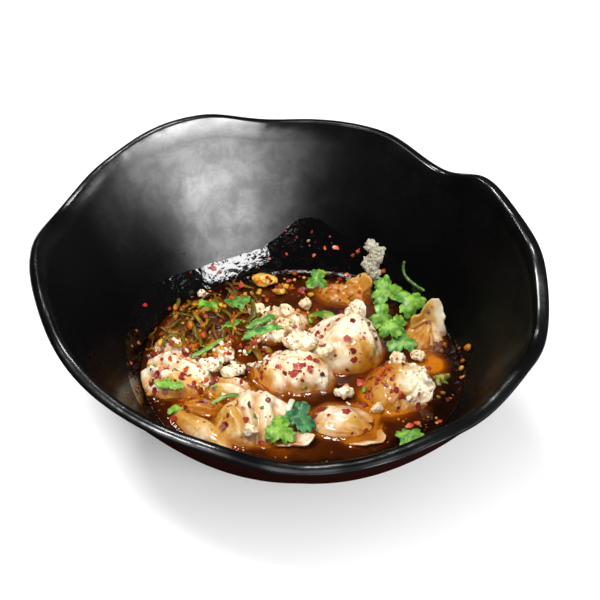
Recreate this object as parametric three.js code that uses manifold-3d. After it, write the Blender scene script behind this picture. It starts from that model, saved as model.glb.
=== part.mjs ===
// Boiled dumplings in chilli broth with coriander, in a black bowl whose thick rim is wavy and slanted.
// Millimetres, +Z up, the bowl's foot on z = 0 and its low front edge towards -Y.
// The origin is on the table, under the middle of the bowl's outline.
import * as THREE from "three";
import { mergeVertices } from "three/addons/utils/BufferGeometryUtils.js";
import Module from "manifold-3d";

const wasm = await Module();
wasm.setup();

const TAU = 2 * Math.PI;
const UP = new THREE.Vector3(0, 0, 1);
const ALONG = new THREE.Vector3(1, 0, 0);

// The clearance between neighbouring pieces, and how closely their surfaces are kept.
const GAP = 0.3;
const CLOSENESS = 0.05;

// The bowl: a flat floor, a wall that steepens towards the back, a round lip and a low foot ring.
const FLOOR = { radius: 36, height: 7 };
const WALL = { thickness: 3.6, frontCurve: 1.56, backCurve: 2.48, curveSpread: 0.65, swell: 4 };
const LIP = { halfWidth: 2.9, frontWider: 0.4, rightWider: 0.3, halfHeight: 1.9, wallLean: Math.PI / 3 };
const FOOT = { inner: 37, outer: 42, height: 3.6, recess: 1.6 };
const PLAIN_RIM = { reach: 108.3, leftReach: 0.6, height: 97.4, backRise: 9.2, leftRise: 10.7 };
const BOWL_COLUMNS = 54;

// The rim's high and low places: the turn in degrees from the right-hand side, then the reach of the
// lip's outer edge and the height of its crest.
const RIM_KNOTS = [
  [4, 111.3, 93.9],
  [20, 110, 97.4],
  [34, 109.5, 101.2],
  [49, 109.6, 92.2],
  [66, 111.5, 101.4],
  [86, 111.3, 103.9],
  [99, 110.8, 104.8],
  [115, 112.2, 112.2],
  [131, 114.6, 111.3],
  [146, 117.4, 105.3],
  [160, 119.5, 98.9],
  [175, 121.3, 100.1],
  [195, 117.7, 98.9],
  [215, 116.6, 91.3],
  [235, 114.8, 86.8],
  [252, 113, 83.2],
  [267, 112.4, 77.2],
  [282, 111.4, 75.8],
  [300, 110.4, 77.1],
  [315, 110.2, 75.6],
  [330, 111.4, 78.8],
  [346, 113.4, 78],
];

const BROTH_LEVEL = 32.5;

// How a topping is lowered: from what height, how far it looks ahead, and how close is close enough.
const DROP = { from: 70, look: 6, close: 0.03, steps: 60 };

// Each dumpling: the body's middle and half-sizes, the way its gathered tip points, the pleats in its
// wrapper, and the frill of loose wrapper that stands out from the tip or towards another side.
const DUMPLINGS = [
  {
    middle: [22, 15, 28], size: [20.5, 19.5, 20.5], tip: [0.28, 0.72, 0.64], pleats: 7, depth: 0.1, neck: 0.1,
    frill: { length: 6, width: 11, roll: 30 }, flakes: 7, seed: 11,
  },
  {
    middle: [-3, -5, 24.5], size: [21.5, 18, 18], tip: [0.6, -0.5, -0.05], pleats: 5, depth: 0.08, neck: 0.1,
    flakes: 6, seed: 23,
  },
  {
    middle: [47, -14, 26], size: [17.5, 18, 17.5], tip: [0.6, -0.35, 0.7], pleats: 9, depth: 0.14, neck: 0.08,
    frill: { length: 5, width: 15, roll: 40 }, flakes: 5, seed: 31,
  },
  {
    middle: [19, -37, 24], size: [18.5, 13, 14.5], tip: [0.75, -0.5, 0.45], pleats: 6, depth: 0.1, neck: 0.1,
    frill: { towards: [0.6, -0.65, 0.47], length: 9, width: 22, roll: -20 }, flakes: 5, seed: 43,
  },
  {
    middle: [-20, -37, 25.5], size: [20.5, 19, 18.5], tip: [0, 0.35, 0.93], pleats: 5, depth: 0.2, neck: 0.06,
    frill: { towards: [0.8, -0.5, 0.36], length: 11, width: 20, roll: -20 }, flakes: 5, seed: 57,
  },
  {
    middle: [-58, -6, 27.5], size: [19.5, 17, 14], tip: [-0.3, 0.85, 0.4], pleats: 6, depth: 0.12, neck: 0.06,
    frill: { length: 8, width: 22, roll: 0 }, flakes: 7, seed: 61,
  },
  {
    middle: [60, 23, 22.5], size: [14, 14, 14.5], tip: [0.25, 0.2, 0.92], pleats: 6, depth: 0.2, neck: 0.2,
    frill: { length: 13, width: 18, roll: 65 }, flakes: 3, seed: 73,
  },
  {
    middle: [-44, -44, 28], size: [21.5, 7.5, 9.5], yaw: -42, tip: [-1, 0, 0.1], pleats: 4, depth: 0.08,
    neck: 0.05, flakes: 2, seed: 83,
  },
  {
    middle: [22, 57, 22.5], size: [15.5, 12, 14], tip: [0.55, 0.2, 0.8], pleats: 6, depth: 0.16, neck: 0.12,
    frill: { length: 7, width: 14, roll: 50 }, flakes: 2, seed: 97,
  },
  {
    middle: [-32, -14, 25.5], size: [13, 8.5, 12], yaw: -8, tip: [0.95, -0.1, 0.1], pleats: 5, depth: 0.12,
    neck: 0.1, flakes: 3, seed: 101,
  },
  {
    middle: [-9, 31, 25], size: [18, 13.5, 14.5], yaw: 12, tip: [-0.6, 0.5, 0.6], pleats: 6, depth: 0.14,
    neck: 0.1, flakes: 4, seed: 113,
  },
  {
    middle: [-46, -27, 25], size: [13, 6.5, 10.5], yaw: -12, tip: [0.95, -0.1, 0.1], pleats: 4, depth: 0.1,
    neck: 0.1, flakes: 1, seed: 127,
  },
];
const DUMPLING_ROWS = 8;
const DUMPLING_COLUMNS = 14;
const WRAPPER = 1.3;

// Chilli flakes: half-sizes, how far above the broth they stick to a dumpling, and those that float.
const FLAKE = { size: [1.9, 1.4, 0.9], above: 3, floating: 9, reach: 68, apart: 1.5 };

// Pale crumbs of fried garlic and pork: the place seen from above and the half-sizes. The bigger ones
// have more corners.
const BIG_CRUMB = 4.9;
const CRUMBS = [
  { at: [1, 7], size: [8, 5.5, 4] },
  { at: [12, 0], size: [4.6, 4, 3] },
  { at: [-10, 10], size: [4.4, 3.8, 3] },
  { at: [-36, 6], size: [5.4, 4.4, 3.6] },
  { at: [-41, -5], size: [5.2, 4.4, 3.2] },
  { at: [-29, -4], size: [4.6, 4, 3] },
  { at: [21, -20], size: [4.8, 3.6, 2.8] },
  { at: [-6, 34], size: [3.8, 3, 2.8] },
  { at: [-21, 37], size: [4.6, 3.8, 3.2] },
  { at: [3, 46], size: [3.8, 3, 2.4] },
  { at: [57, 6], size: [4, 3, 2.6] },
  { at: [-22, -50], size: [4.4, 3, 2.2] },
  { at: [36, -30], size: [3, 2.4, 2] },
  { at: [-49, 55], size: [2.6, 2.4, 2.2] },
  { at: [-9, 20], size: [5, 4.2, 3.2] },
  { at: [47, 3], size: [3.6, 3, 2.4] },
  { at: [-33, -10], size: [4.4, 3.6, 2.6] },
  { at: [28, 27], size: [4, 3.4, 2.8] },
];

// Coriander leaflets: the place, the reach of the blade, the way its tip turns, and its tilt about X and Y.
const LEAVES = [
  { at: [44, 52], reach: 9.5, turn: 100, tilt: [32, -8] },
  { at: [55, 44], reach: 10, turn: 20, tilt: [26, 8] },
  { at: [41, 33], reach: 8.5, turn: 95, tilt: [34, 10] },
  { at: [48, 27], reach: 7.5, turn: -60, tilt: [24, 12] },
  { at: [50, 16], reach: 8, turn: -20, tilt: [26, 8] },
  { at: [44, 19], reach: 6.5, turn: 200, tilt: [30, -10] },
  { at: [0, -42], reach: 8.5, turn: 70, tilt: [20, -12] },
  { at: [-8, -50], reach: 9, turn: 205, tilt: [24, 8] },
  { at: [9, 65], reach: 7, turn: 80, tilt: [22, -6] },
  { at: [50, -50], reach: 7.5, turn: 20, tilt: [12, 4] },
];

// Cut greens and stalks: the places that each one passes over, its width and its thickness.
const SHRED_RISE = 0.8;
const SHREDS = [
  { through: [[-52, 43], [-45, 45], [-40, 41]], width: 5, thickness: 1 },
  { through: [[-35, 46], [-30, 50], [-26, 48]], width: 6, thickness: 1 },
  { through: [[-25, 22], [-18, 28], [-11, 31]], width: 4, thickness: 0.9 },
  { through: [[-26, 7], [-17, 14], [-8, 15]], width: 4.5, thickness: 0.9 },
  { through: [[-38, 26], [-33, 29], [-29, 33]], width: 4, thickness: 0.9 },
  { through: [[-51, 1], [-45, 5], [-37, 14]], width: 2.6, thickness: 0.9 },
  { through: [[-66, -17], [-60, -20], [-54, -19]], width: 4.6, thickness: 1 },
  { through: [[-60, -33], [-57, -32], [-54, -30]], width: 4, thickness: 1 },
  { through: [[-40, -31], [-34, -27], [-28, -25]], width: 2, thickness: 0.9 },
  { through: [[5, 38], [12, 41], [19, 37]], width: 3.4, thickness: 1.1 },
  { through: [[63, -22], [66, -20], [68, -16]], width: 4.4, thickness: 1.4 },
  { through: [[-3, -30], [-4, -34], [-5, -37]], width: 2.6, thickness: 1.8 },
];

// Yellow pickled radish, cut small: the place and the half-sizes.
const RADISH = [
  { at: [-18, 65], size: [6, 4, 3] },
  { at: [-10, 57], size: [3, 2.6, 2.2] },
];

// The mound of pickled greens at the left, with strips of leaf lying over it.
const GREENS = { middle: [-46, 35, 24], size: [25, 21, 12.5], strips: 8, reach: 0.7 };
const GREENS_STRIP = { width: 3.2, thickness: 1.3 };

// The stem that rises from the leaves and leans on the back wall: the turn in degrees and the climb.
const STEM_THROUGH = [[38.8, 0.649], [45.2, 0.655], [49.8, 0.676], [50.9, 0.714]];
const STEM = { width: 1.5, clear: 2, steps: 8 };

// Crumbs that stick to the wall above the broth, behind the dumplings.
const WALL_CRUMB = { turn: 62.5, climb: 0.667, swing: 0.04, rise: 0.045, clear: 1.6 };
const WALL_LUMPS = { count: 8, size: [4.2, 3.8, 3.4] };

function dice(seed) {
  let state = seed * 7919 + 17;
  return () => {
    state = (state * 1664525 + 1013904223) % 4294967296;
    return state / 4294967296;
  };
}

// A closed solid from vertices and faces.
function solidOf(points, faces) {
  const vertProperties = new Float32Array(points.flatMap((p) => [p.x, p.y, p.z]));
  return new wasm.Manifold(new wasm.Mesh({ numProp: 3, vertProperties, triVerts: new Uint32Array(faces) }));
}

// A closed solid skinned over rings between two poles. at(row, turn) gives a point for rows 0 to rows;
// the first and last rows are single points, and the rings turn left round the way from first to last.
function skin(rows, columns, at) {
  const points = [at(0, 0)];
  for (let row = 1; row < rows; row++) {
    for (let column = 0; column < columns; column++) points.push(at(row, (TAU * column) / columns));
  }
  points.push(at(rows, 0));
  const last = points.length - 1;
  const corner = (row, column) => 1 + (row - 1) * columns + (column % columns);
  const faces = [];
  for (let column = 0; column < columns; column++) {
    faces.push(0, corner(1, column + 1), corner(1, column));
    for (let row = 1; row < rows - 1; row++) {
      const [a, b] = [corner(row, column), corner(row, column + 1)];
      const [c, d] = [corner(row + 1, column + 1), corner(row + 1, column)];
      faces.push(a, b, c, a, c, d);
    }
    faces.push(corner(rows - 1, column), corner(rows - 1, column + 1), last);
  }
  return solidOf(points, faces);
}

// The rim's reach and height at a turn in radians, on a smooth closed line through the knots.
function rimAt(turn) {
  const degrees = THREE.MathUtils.euclideanModulo(THREE.MathUtils.radToDeg(turn), 360);
  const count = RIM_KNOTS.length;
  const after = RIM_KNOTS.findIndex((knot) => knot[0] > degrees);
  const next = after < 0 ? count : after;
  const knotAt = (index) => {
    const [at, reach, height] = RIM_KNOTS[THREE.MathUtils.euclideanModulo(index, count)];
    return [at + 360 * Math.floor(index / count), reach, height];
  };
  const [p0, p1, p2, p3] = [next - 2, next - 1, next, next + 1].map(knotAt);
  const span = p2[0] - p1[0];
  const t = (degrees - p1[0]) / span;
  const [reach, height] = [1, 2].map((k) => {
    const leave = ((p2[k] - p0[k]) / (p2[0] - p0[0])) * span;
    const arrive = ((p3[k] - p1[k]) / (p3[0] - p1[0])) * span;
    const bend = 2 * (p1[k] - p2[k]) + leave + arrive;
    return p1[k] + t * (leave + t * (-3 * p1[k] + 3 * p2[k] - 2 * leave - arrive + t * bend));
  });
  return { reach, height };
}

// A point of the bowl's wall in its own upright plane: climb runs from the floor's edge, 0, to the rim, 1,
// and inset lifts the point off the inner surface. The rim's waves fade down the wall.
function wallAt(turn, climb, inset) {
  const rim = rimAt(turn);
  const topReach = rim.reach - lipHalfWidth(turn) - (WALL.thickness / 2) * Math.sin(LIP.wallLean);
  const topHeight = rim.height - LIP.halfHeight + (WALL.thickness / 2) * Math.cos(LIP.wallLean);
  const backness = (0.5 + 0.5 * Math.sin(turn)) ** WALL.curveSpread;
  const curve = THREE.MathUtils.lerp(WALL.frontCurve, WALL.backCurve, backness);
  const reach = PLAIN_RIM.reach - PLAIN_RIM.leftReach * Math.cos(turn);
  const height = PLAIN_RIM.height + PLAIN_RIM.backRise * Math.sin(turn) - PLAIN_RIM.leftRise * Math.cos(turn);
  const along = (t) => ({
    r: FLOOR.radius + (reach - FLOOR.radius) * t + (topReach - reach) * t ** WALL.swell,
    z: FLOOR.height + (height - FLOOR.height) * t ** curve + (topHeight - height) * t ** WALL.swell,
  });
  const [here, before, beyond] = [along(climb), along(Math.max(climb - 0.01, 0)), along(climb + 0.01)];
  const lean = Math.atan2(beyond.z - before.z, beyond.r - before.r);
  return { r: here.r - inset * Math.sin(lean), z: here.z + inset * Math.cos(lean), lean };
}

function around(turn, { r, z }) {
  return new THREE.Vector3(r * Math.cos(turn), r * Math.sin(turn), z);
}

function lipHalfWidth(turn) {
  return LIP.halfWidth - LIP.frontWider * Math.sin(turn) + LIP.rightWider * Math.cos(turn);
}

// A point of the rounded lip. over runs from its outer side, 0, over the crest to its inner side, PI.
function lipAt(turn, over) {
  const { r, z, lean } = wallAt(turn, 1, -WALL.thickness / 2);
  const angle = lean - Math.PI / 2 + over;
  return { r: r + lipHalfWidth(turn) * Math.cos(angle), z: z + LIP.halfHeight * Math.sin(angle) };
}

function makeBowl() {
  const outerClimbs = [0.12, 0.3, 0.52, 0.75, 0.95];
  const lipTurns = [-25, 21, 67, 113, 159, 205].map(THREE.MathUtils.degToRad);
  const innerClimbs = [0.95, 0.8, 0.62, 0.42, 0.2];
  const profile = [
    () => ({ r: 0, z: FOOT.recess }),
    () => ({ r: FOOT.inner - 1, z: FOOT.recess }),
    () => ({ r: FOOT.inner, z: 0 }),
    () => ({ r: FOOT.outer, z: 0 }),
    () => ({ r: FOOT.outer + 1, z: FOOT.height }),
    ...outerClimbs.map((climb) => (turn) => wallAt(turn, climb, -WALL.thickness)),
    ...lipTurns.map((over) => (turn) => lipAt(turn, over)),
    ...innerClimbs.map((climb) => (turn) => wallAt(turn, climb, 0)),
    () => ({ r: FLOOR.radius, z: FLOOR.height }),
    () => ({ r: 0, z: FLOOR.height }),
  ];
  return skin(profile.length - 1, BOWL_COLUMNS, (row, turn) => around(turn, profile[row](turn)));
}

// The space inside the bowl, clear of its wall and open above it.
function makeHollow() {
  const climbs = [0, 0.2, 0.42, 0.62, 0.8, 0.95];
  const rows = climbs.length + 2;
  const top = 130;
  return skin(rows, BOWL_COLUMNS, (row, turn) => {
    if (row === 0) return new THREE.Vector3(0, 0, FLOOR.height + GAP);
    if (row === rows) return new THREE.Vector3(0, 0, top);
    if (row > climbs.length) return around(turn, { r: wallAt(turn, climbs.at(-1), GAP).r, z: top });
    return around(turn, wallAt(turn, climbs[row - 1], GAP));
  });
}

const smooth = THREE.MathUtils.smoothstep;

// A point on a dumpling's plump body: along runs from its underside, 0, to its gathered tip, 1.
function bodyAt({ middle, size, yaw = 0, tip, pleats, depth, neck, seed }, along, turn, grow) {
  const a = Math.PI * along;
  const gather = smooth(along, 0.45, 0.92);
  const sway = 0.035 * Math.sin(3 * turn - 2 * seed) * Math.sin(2 * a);
  const lump = 0.045 * Math.sin(2 * turn + seed) * Math.sin(a) + sway;
  const pleat = depth * gather * (0.5 + 0.5 * Math.cos(pleats * turn + 3 * along + seed));
  const ring = Math.sin(a) * (1 + lump - pleat);
  const up = -Math.cos(a) * (1 + lump) + neck * smooth(along, 0.8, 1);
  return new THREE.Vector3(ring * Math.cos(turn), ring * Math.sin(turn), up)
    .applyQuaternion(new THREE.Quaternion().setFromUnitVectors(UP, new THREE.Vector3(...tip).normalize()))
    .multiply(new THREE.Vector3(...size).addScalar(grow))
    .applyAxisAngle(UP, THREE.MathUtils.degToRad(yaw))
    .add(new THREE.Vector3(...middle));
}

// A thin wavy sheet round its own middle: edgeAt(turn) is its outline and liftAt(x, y) its waves.
function makeSheet(columns, edgeAt, liftAt, thickness) {
  return skin(3, columns, (row, turn) => {
    const reach = row % 3 === 0 ? 0 : edgeAt(turn);
    const [x, y] = [reach * Math.cos(turn), reach * Math.sin(turn)];
    return new THREE.Vector3(x, y, liftAt(x, y) + (row < 2 ? -thickness / 2 : thickness / 2));
  });
}

// Turns a solid so that its Z points along facing, with a roll about that, and moves it to a place.
function placed(solid, place, facing, roll) {
  const turned = new THREE.Quaternion()
    .setFromUnitVectors(UP, facing.clone().normalize())
    .multiply(new THREE.Quaternion().setFromAxisAngle(UP, roll));
  const matrix = new THREE.Matrix4().compose(place, turned, new THREE.Vector3(1, 1, 1));
  return solid.transform(matrix.elements);
}

// A rough little lump made from a ball, its corners pushed in and out by the dice.
function makeLump(ball, [sx, sy, sz], seed) {
  const roll = dice(seed);
  ball.deleteAttribute("normal");
  ball.deleteAttribute("uv");
  const merged = mergeVertices(ball);
  const corners = merged.getAttribute("position");
  const points = [];
  for (let i = 0; i < corners.count; i++) {
    const corner = new THREE.Vector3().fromBufferAttribute(corners, i);
    points.push(corner.multiply(new THREE.Vector3(sx, sy, sz)).multiplyScalar(0.8 + 0.4 * roll()));
  }
  return solidOf(points, Array.from(merged.index.array));
}

function makeFlake(place, facing, seed) {
  return placed(makeLump(new THREE.OctahedronGeometry(1), FLAKE.size, seed), place, facing, seed);
}

function makeCrumb(size, seed) {
  return makeLump(new THREE.IcosahedronGeometry(1, size[0] > BIG_CRUMB ? 1 : 0), size, seed);
}

// The frill of loose wrapper: a ruffled fan that grows out of the body.
function makeFrill(dumpling, grow) {
  const { length, width, roll, towards } = dumpling.frill;
  const fan = makeSheet(
    12,
    (turn) => {
      const stretch = Math.hypot(Math.cos(turn) / length, Math.sin(turn) / (width / 2));
      return (1 + 0.13 * Math.cos(3 * turn) + 0.07 * Math.cos(5 * turn + dumpling.seed)) / stretch + grow;
    },
    (x, y) => 1.3 * Math.sin((7 * y) / width + dumpling.seed) * smooth(x, -length, length),
    WRAPPER + 2 * grow,
  );
  const middle = new THREE.Vector3(...dumpling.middle);
  const root = towards
    ? new THREE.Vector3(...towards).normalize().multiply(new THREE.Vector3(...dumpling.size)).add(middle)
    : bodyAt(dumpling, 1, 0, 0);
  const out = root.clone().sub(middle).normalize();
  const rolled = new THREE.Quaternion().setFromAxisAngle(ALONG, THREE.MathUtils.degToRad(roll));
  const turned = new THREE.Quaternion().setFromUnitVectors(ALONG, out).multiply(rolled);
  const matrix = new THREE.Matrix4().compose(root, turned, new THREE.Vector3(1, 1, 1));
  return fan.transform(matrix.elements);
}

// The chilli flakes on a dumpling lie half sunk in its upper side, where the dice put them.
function makeFlakesOn(dumpling, body, neighbours) {
  const roll = dice(dumpling.seed);
  const middle = new THREE.Vector3(...dumpling.middle);
  const flakes = [];
  for (let tries = 0; tries < 200 && flakes.length < dumpling.flakes; tries++) {
    const place = bodyAt(dumpling, 0.15 + 0.7 * roll(), TAU * roll(), 0);
    const facing = place.clone().sub(middle).normalize();
    if (place.z < BROTH_LEVEL + FLAKE.above || facing.z < 0.3) continue;
    const flake = makeFlake(place, facing, tries + dumpling.seed);
    const lost = flake.minGap(body, 1) > 0;
    if (lost || neighbours.some((other) => flake.minGap(other, 1) < GAP)) continue;
    flakes.push(flake);
  }
  return flakes;
}

// A whole dumpling, or the room that it takes when it is grown a little.
function makeDumpling(dumpling, grow) {
  const at = (row, turn) => bodyAt(dumpling, row / DUMPLING_ROWS, turn, grow);
  const body = skin(DUMPLING_ROWS, DUMPLING_COLUMNS, at);
  return dumpling.frill ? body.add(makeFrill(dumpling, grow)) : body;
}

// The biggest body of a solid, without the loose scraps that a cut leaves.
function biggest(solid) {
  return solid.decompose().reduce((most, one) => (one.volume() > most.volume() ? one : most));
}

function makeBroth(hollow, food) {
  const level = skin(3, 24, (row, turn) => {
    const z = row < 2 ? 0 : BROTH_LEVEL;
    return row % 3 === 0 ? new THREE.Vector3(0, 0, z) : around(turn, { r: 140, z });
  });
  let broth = biggest(hollow.intersect(level).subtract(food));
  const roll = dice(5);
  for (let count = 0; count < FLAKE.floating; ) {
    const [reach, turn] = [FLAKE.reach * Math.sqrt(roll()), TAU * roll()];
    const place = around(turn, { r: reach, z: BROTH_LEVEL });
    const flake = makeFlake(place, UP, count);
    if (flake.minGap(food, 2 * FLAKE.apart) < FLAKE.apart) continue;
    broth = broth.add(flake);
    count++;
  }
  return broth;
}

// A coriander leaflet: three lobes with scalloped edges, drooping a little at the sides.
function makeLeaf({ reach, turn, tilt }) {
  const blade = makeSheet(
    18,
    (t) => reach * (0.68 + 0.2 * Math.cos(3 * t) + 0.08 * Math.cos(t) + 0.06 * Math.cos(9 * t)),
    (x, y) => -0.035 * y * y + 0.5 * Math.sin((4 * x) / reach),
    0.8,
  );
  const [tiltX, tiltY] = tilt;
  return blade.rotate([0, 0, turn]).rotate([tiltX, tiltY, 0]);
}

// A rod or strip along a curve, with closed ends. It is as wide as width and as thick as thickness.
function makeStrip(curve, width, thickness, steps) {
  const { tangents } = curve.computeFrenetFrames(steps, false);
  const [rows, sides] = [steps + 2, 4];
  return skin(rows, sides, (row, turn) => {
    const step = THREE.MathUtils.clamp(row - 1, 0, steps);
    const centre = curve.getPointAt(step / steps);
    if (row === 0 || row === rows) return centre;
    const side = new THREE.Vector3().crossVectors(UP, tangents[step]).normalize();
    const over = new THREE.Vector3().crossVectors(tangents[step], side);
    const corner = turn + Math.PI / sides;
    return centre
      .addScaledVector(side, (Math.sign(Math.cos(corner)) * width) / 2)
      .addScaledVector(over, (Math.sign(Math.sin(corner)) * thickness) / 2);
  });
}

function curveThrough(places) {
  return new THREE.CatmullRomCurve3(places.map(([x, y, z]) => new THREE.Vector3(x, y, z)));
}

// A cut green, a little higher in the middle than at its ends.
function makeShred({ through, width, thickness }) {
  const places = through.map(([x, y], i) => [x, y, i === 1 ? SHRED_RISE : 0]);
  return makeStrip(curveThrough(places), width, thickness, 4);
}

// Lowers a topping from above until it rests on what is under it.
function settled(topping) {
  const box = topping.boundingBox();
  const near = solids.filter((ground) => {
    const { min, max } = ground.boundingBox();
    return [0, 1].every((k) => min[k] < box.max[k] + GAP && max[k] > box.min[k] - GAP);
  });
  let resting = topping.translate([0, 0, DROP.from - box.min[2]]);
  for (let step = 0; step < DROP.steps; step++) {
    const room = Math.min(...near.map((ground) => resting.minGap(ground, DROP.look)));
    if (room < GAP + DROP.close) break;
    resting = resting.translate([0, 0, GAP - room]);
  }
  return resting;
}

// The mound of pickled greens: a low core in the broth with strips of leaf over it.
function makeGreens(grow) {
  const [cx, cy, cz] = GREENS.middle;
  const [sx, sy, sz] = GREENS.size.map((half) => half + grow);
  const { width, thickness } = GREENS_STRIP;
  const roll = dice(19);
  const rows = 6;
  let mound = skin(rows, 14, (row, turn) => {
    const a = (Math.PI * row) / rows;
    const lump = 1 + 0.06 * Math.sin(3 * turn + row);
    return new THREE.Vector3(
      cx + sx * Math.sin(a) * Math.cos(turn) * lump,
      cy + sy * Math.sin(a) * Math.sin(turn) * lump,
      cz - sz * Math.cos(a),
    );
  });
  for (let i = 0; i < GREENS.strips; i++) {
    const [reach, at, heading] = [GREENS.reach * Math.sqrt(roll()), TAU * roll(), TAU * roll()];
    const half = 3.5 + 3 * roll() + grow;
    const places = [-1, 0, 1].map((end) => {
      const u = reach * Math.cos(at) + (end * half * Math.cos(heading)) / sx;
      const v = reach * Math.sin(at) + (end * half * Math.sin(heading)) / sy;
      return [cx + sx * u, cy + sy * v, cz + sz * Math.sqrt(Math.max(0, 1 - u * u - v * v))];
    });
    const strip = makeStrip(curveThrough(places), width + 2 * grow, thickness + 2 * grow, 3);
    mound = mound.add(strip);
  }
  return mound;
}

function makeStem() {
  const places = STEM_THROUGH.map(([degrees, climb]) => {
    const turn = THREE.MathUtils.degToRad(degrees);
    return around(turn, wallAt(turn, climb, STEM.clear)).toArray();
  });
  return makeStrip(curveThrough(places), STEM.width, STEM.width, STEM.steps);
}

function makeWallCrumb(hollow) {
  const roll = dice(41);
  const lumps = [];
  for (let i = 0; i < WALL_LUMPS.count; i++) {
    const turn = THREE.MathUtils.degToRad(WALL_CRUMB.turn) + WALL_CRUMB.swing * (2 * roll() - 1);
    const climb = WALL_CRUMB.climb + WALL_CRUMB.rise * ((2 * i) / (WALL_LUMPS.count - 1) - 1);
    const lump = makeLump(new THREE.IcosahedronGeometry(1), WALL_LUMPS.size, i + 70);
    lumps.push(lump.translate(around(turn, wallAt(turn, climb, WALL_CRUMB.clear)).toArray()));
  }
  return biggest(wasm.Manifold.union(lumps).intersect(hollow));
}

const SHADES = {
  bowl: { color: 0x0b0b0c, roughness: 0.3 },
  broth: { color: 0x7a2f0a, roughness: 0.15 },
  dumpling: { color: 0xe0c49c, roughness: 0.45 },
  leaf: { color: 0x3f9a2e, roughness: 0.5 },
  greens: { color: 0x6b7420, roughness: 0.5 },
  crumb: { color: 0xf0e6d2, roughness: 0.6 },
  radish: { color: 0xe8a21a, roughness: 0.4 },
};

const dish = new THREE.Group();
const solids = [];

function addNode(name, rough, shade) {
  const solid = rough.simplify(CLOSENESS);
  const { vertProperties, triVerts } = solid.getMesh();
  const geometry = new THREE.BufferGeometry();
  geometry.setAttribute("position", new THREE.BufferAttribute(vertProperties, 3));
  geometry.setIndex(new THREE.BufferAttribute(triVerts, 1));
  geometry.computeVertexNormals();
  const mesh = new THREE.Mesh(geometry, new THREE.MeshStandardMaterial({ ...SHADES[shade], metalness: 0 }));
  mesh.name = name;
  dish.add(mesh);
  solids.push(solid);
}

const hollow = makeHollow();
addNode("bowl", makeBowl(), "bowl");

// The dumplings press against one another, so each later one gives way to those before it.
const bodies = [];
let food = makeDumpling(DUMPLINGS[0], GAP);
for (const dumpling of DUMPLINGS) {
  const whole = makeDumpling(dumpling, 0).intersect(hollow);
  bodies.push(biggest(bodies.length > 0 ? whole.subtract(food) : whole));
  food = food.add(makeDumpling(dumpling, GAP));
}
const greens = biggest(makeGreens(0).intersect(hollow).subtract(food));
DUMPLINGS.forEach((dumpling, i) => {
  const others = [...bodies.filter((body) => body !== bodies[i]), greens];
  const flakes = makeFlakesOn(dumpling, bodies[i], others);
  addNode(`dumpling_${i + 1}`, wasm.Manifold.union([bodies[i], ...flakes]), "dumpling");
});
addNode("pickled_greens", greens, "greens");
addNode("broth", makeBroth(hollow, food.add(makeGreens(GAP))), "broth");
addNode("wall_crumb", makeWallCrumb(hollow), "crumb");
addNode("stem", makeStem(), "leaf");

// The toppings are laid on one after another, so later ones lie over earlier ones.
const toppings = {
  radish: RADISH.map(({ at, size }, i) => ({ at, solid: makeCrumb(size, i + 7), shade: "radish" })),
  crumb: CRUMBS.map(({ at, size }, i) => ({ at, solid: makeCrumb(size, i + 31), shade: "crumb" })),
  green_shred: SHREDS.map((shred) => ({ at: [0, 0], solid: makeShred(shred), shade: "leaf" })),
  coriander_leaf: LEAVES.map((leaf) => ({ at: leaf.at, solid: makeLeaf(leaf), shade: "leaf" })),
};
for (const [kind, pieces] of Object.entries(toppings)) {
  pieces.forEach(({ at, solid, shade }, i) => {
    addNode(`${kind}_${i + 1}`, settled(solid.translate([...at, 0])), shade);
  });
}

const outline = new THREE.Box3().setFromObject(dish.getObjectByName("bowl"));
const middle = outline.getCenter(new THREE.Vector3());
dish.position.set(-middle.x, -middle.y, 0);

export default dish;
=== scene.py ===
"""Boiled dumplings in chilli broth with pickled greens and coriander, in a glossy black bowl.

The bowl's plan is in millimetres, with its own middle at the origin; in_row_frame() turns plan points
into metres in the row frame. Every piece lies where its CAD node lies.
"""

import math

import bmesh
import bpy
import numpy as np
from mathutils import Matrix, Vector, noise
from mathutils.bvhtree import BVHTree
from mathutils.kdtree import KDTree


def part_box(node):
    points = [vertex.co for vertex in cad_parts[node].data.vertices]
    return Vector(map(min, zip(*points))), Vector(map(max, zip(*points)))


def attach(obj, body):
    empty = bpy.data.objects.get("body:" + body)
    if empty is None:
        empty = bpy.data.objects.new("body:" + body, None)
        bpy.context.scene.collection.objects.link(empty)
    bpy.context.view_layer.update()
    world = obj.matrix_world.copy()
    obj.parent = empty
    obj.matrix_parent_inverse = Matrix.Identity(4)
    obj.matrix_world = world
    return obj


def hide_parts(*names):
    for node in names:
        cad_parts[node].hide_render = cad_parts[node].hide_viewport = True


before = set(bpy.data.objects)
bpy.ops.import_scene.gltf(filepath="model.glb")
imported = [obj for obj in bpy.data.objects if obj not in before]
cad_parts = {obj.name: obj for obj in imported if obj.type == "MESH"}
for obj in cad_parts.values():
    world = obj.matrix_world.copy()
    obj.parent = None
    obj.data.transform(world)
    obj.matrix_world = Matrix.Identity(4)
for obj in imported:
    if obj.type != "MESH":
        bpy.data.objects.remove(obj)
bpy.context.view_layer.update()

MM = 0.001
TAU = 2 * math.pi
PLAN_SHIFT = np.array([4.28644943, 0.27648544, 0.0])
UP = np.array([0.0, 0.0, 1.0])
DOWN = Vector((0, 0, -1))

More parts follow.
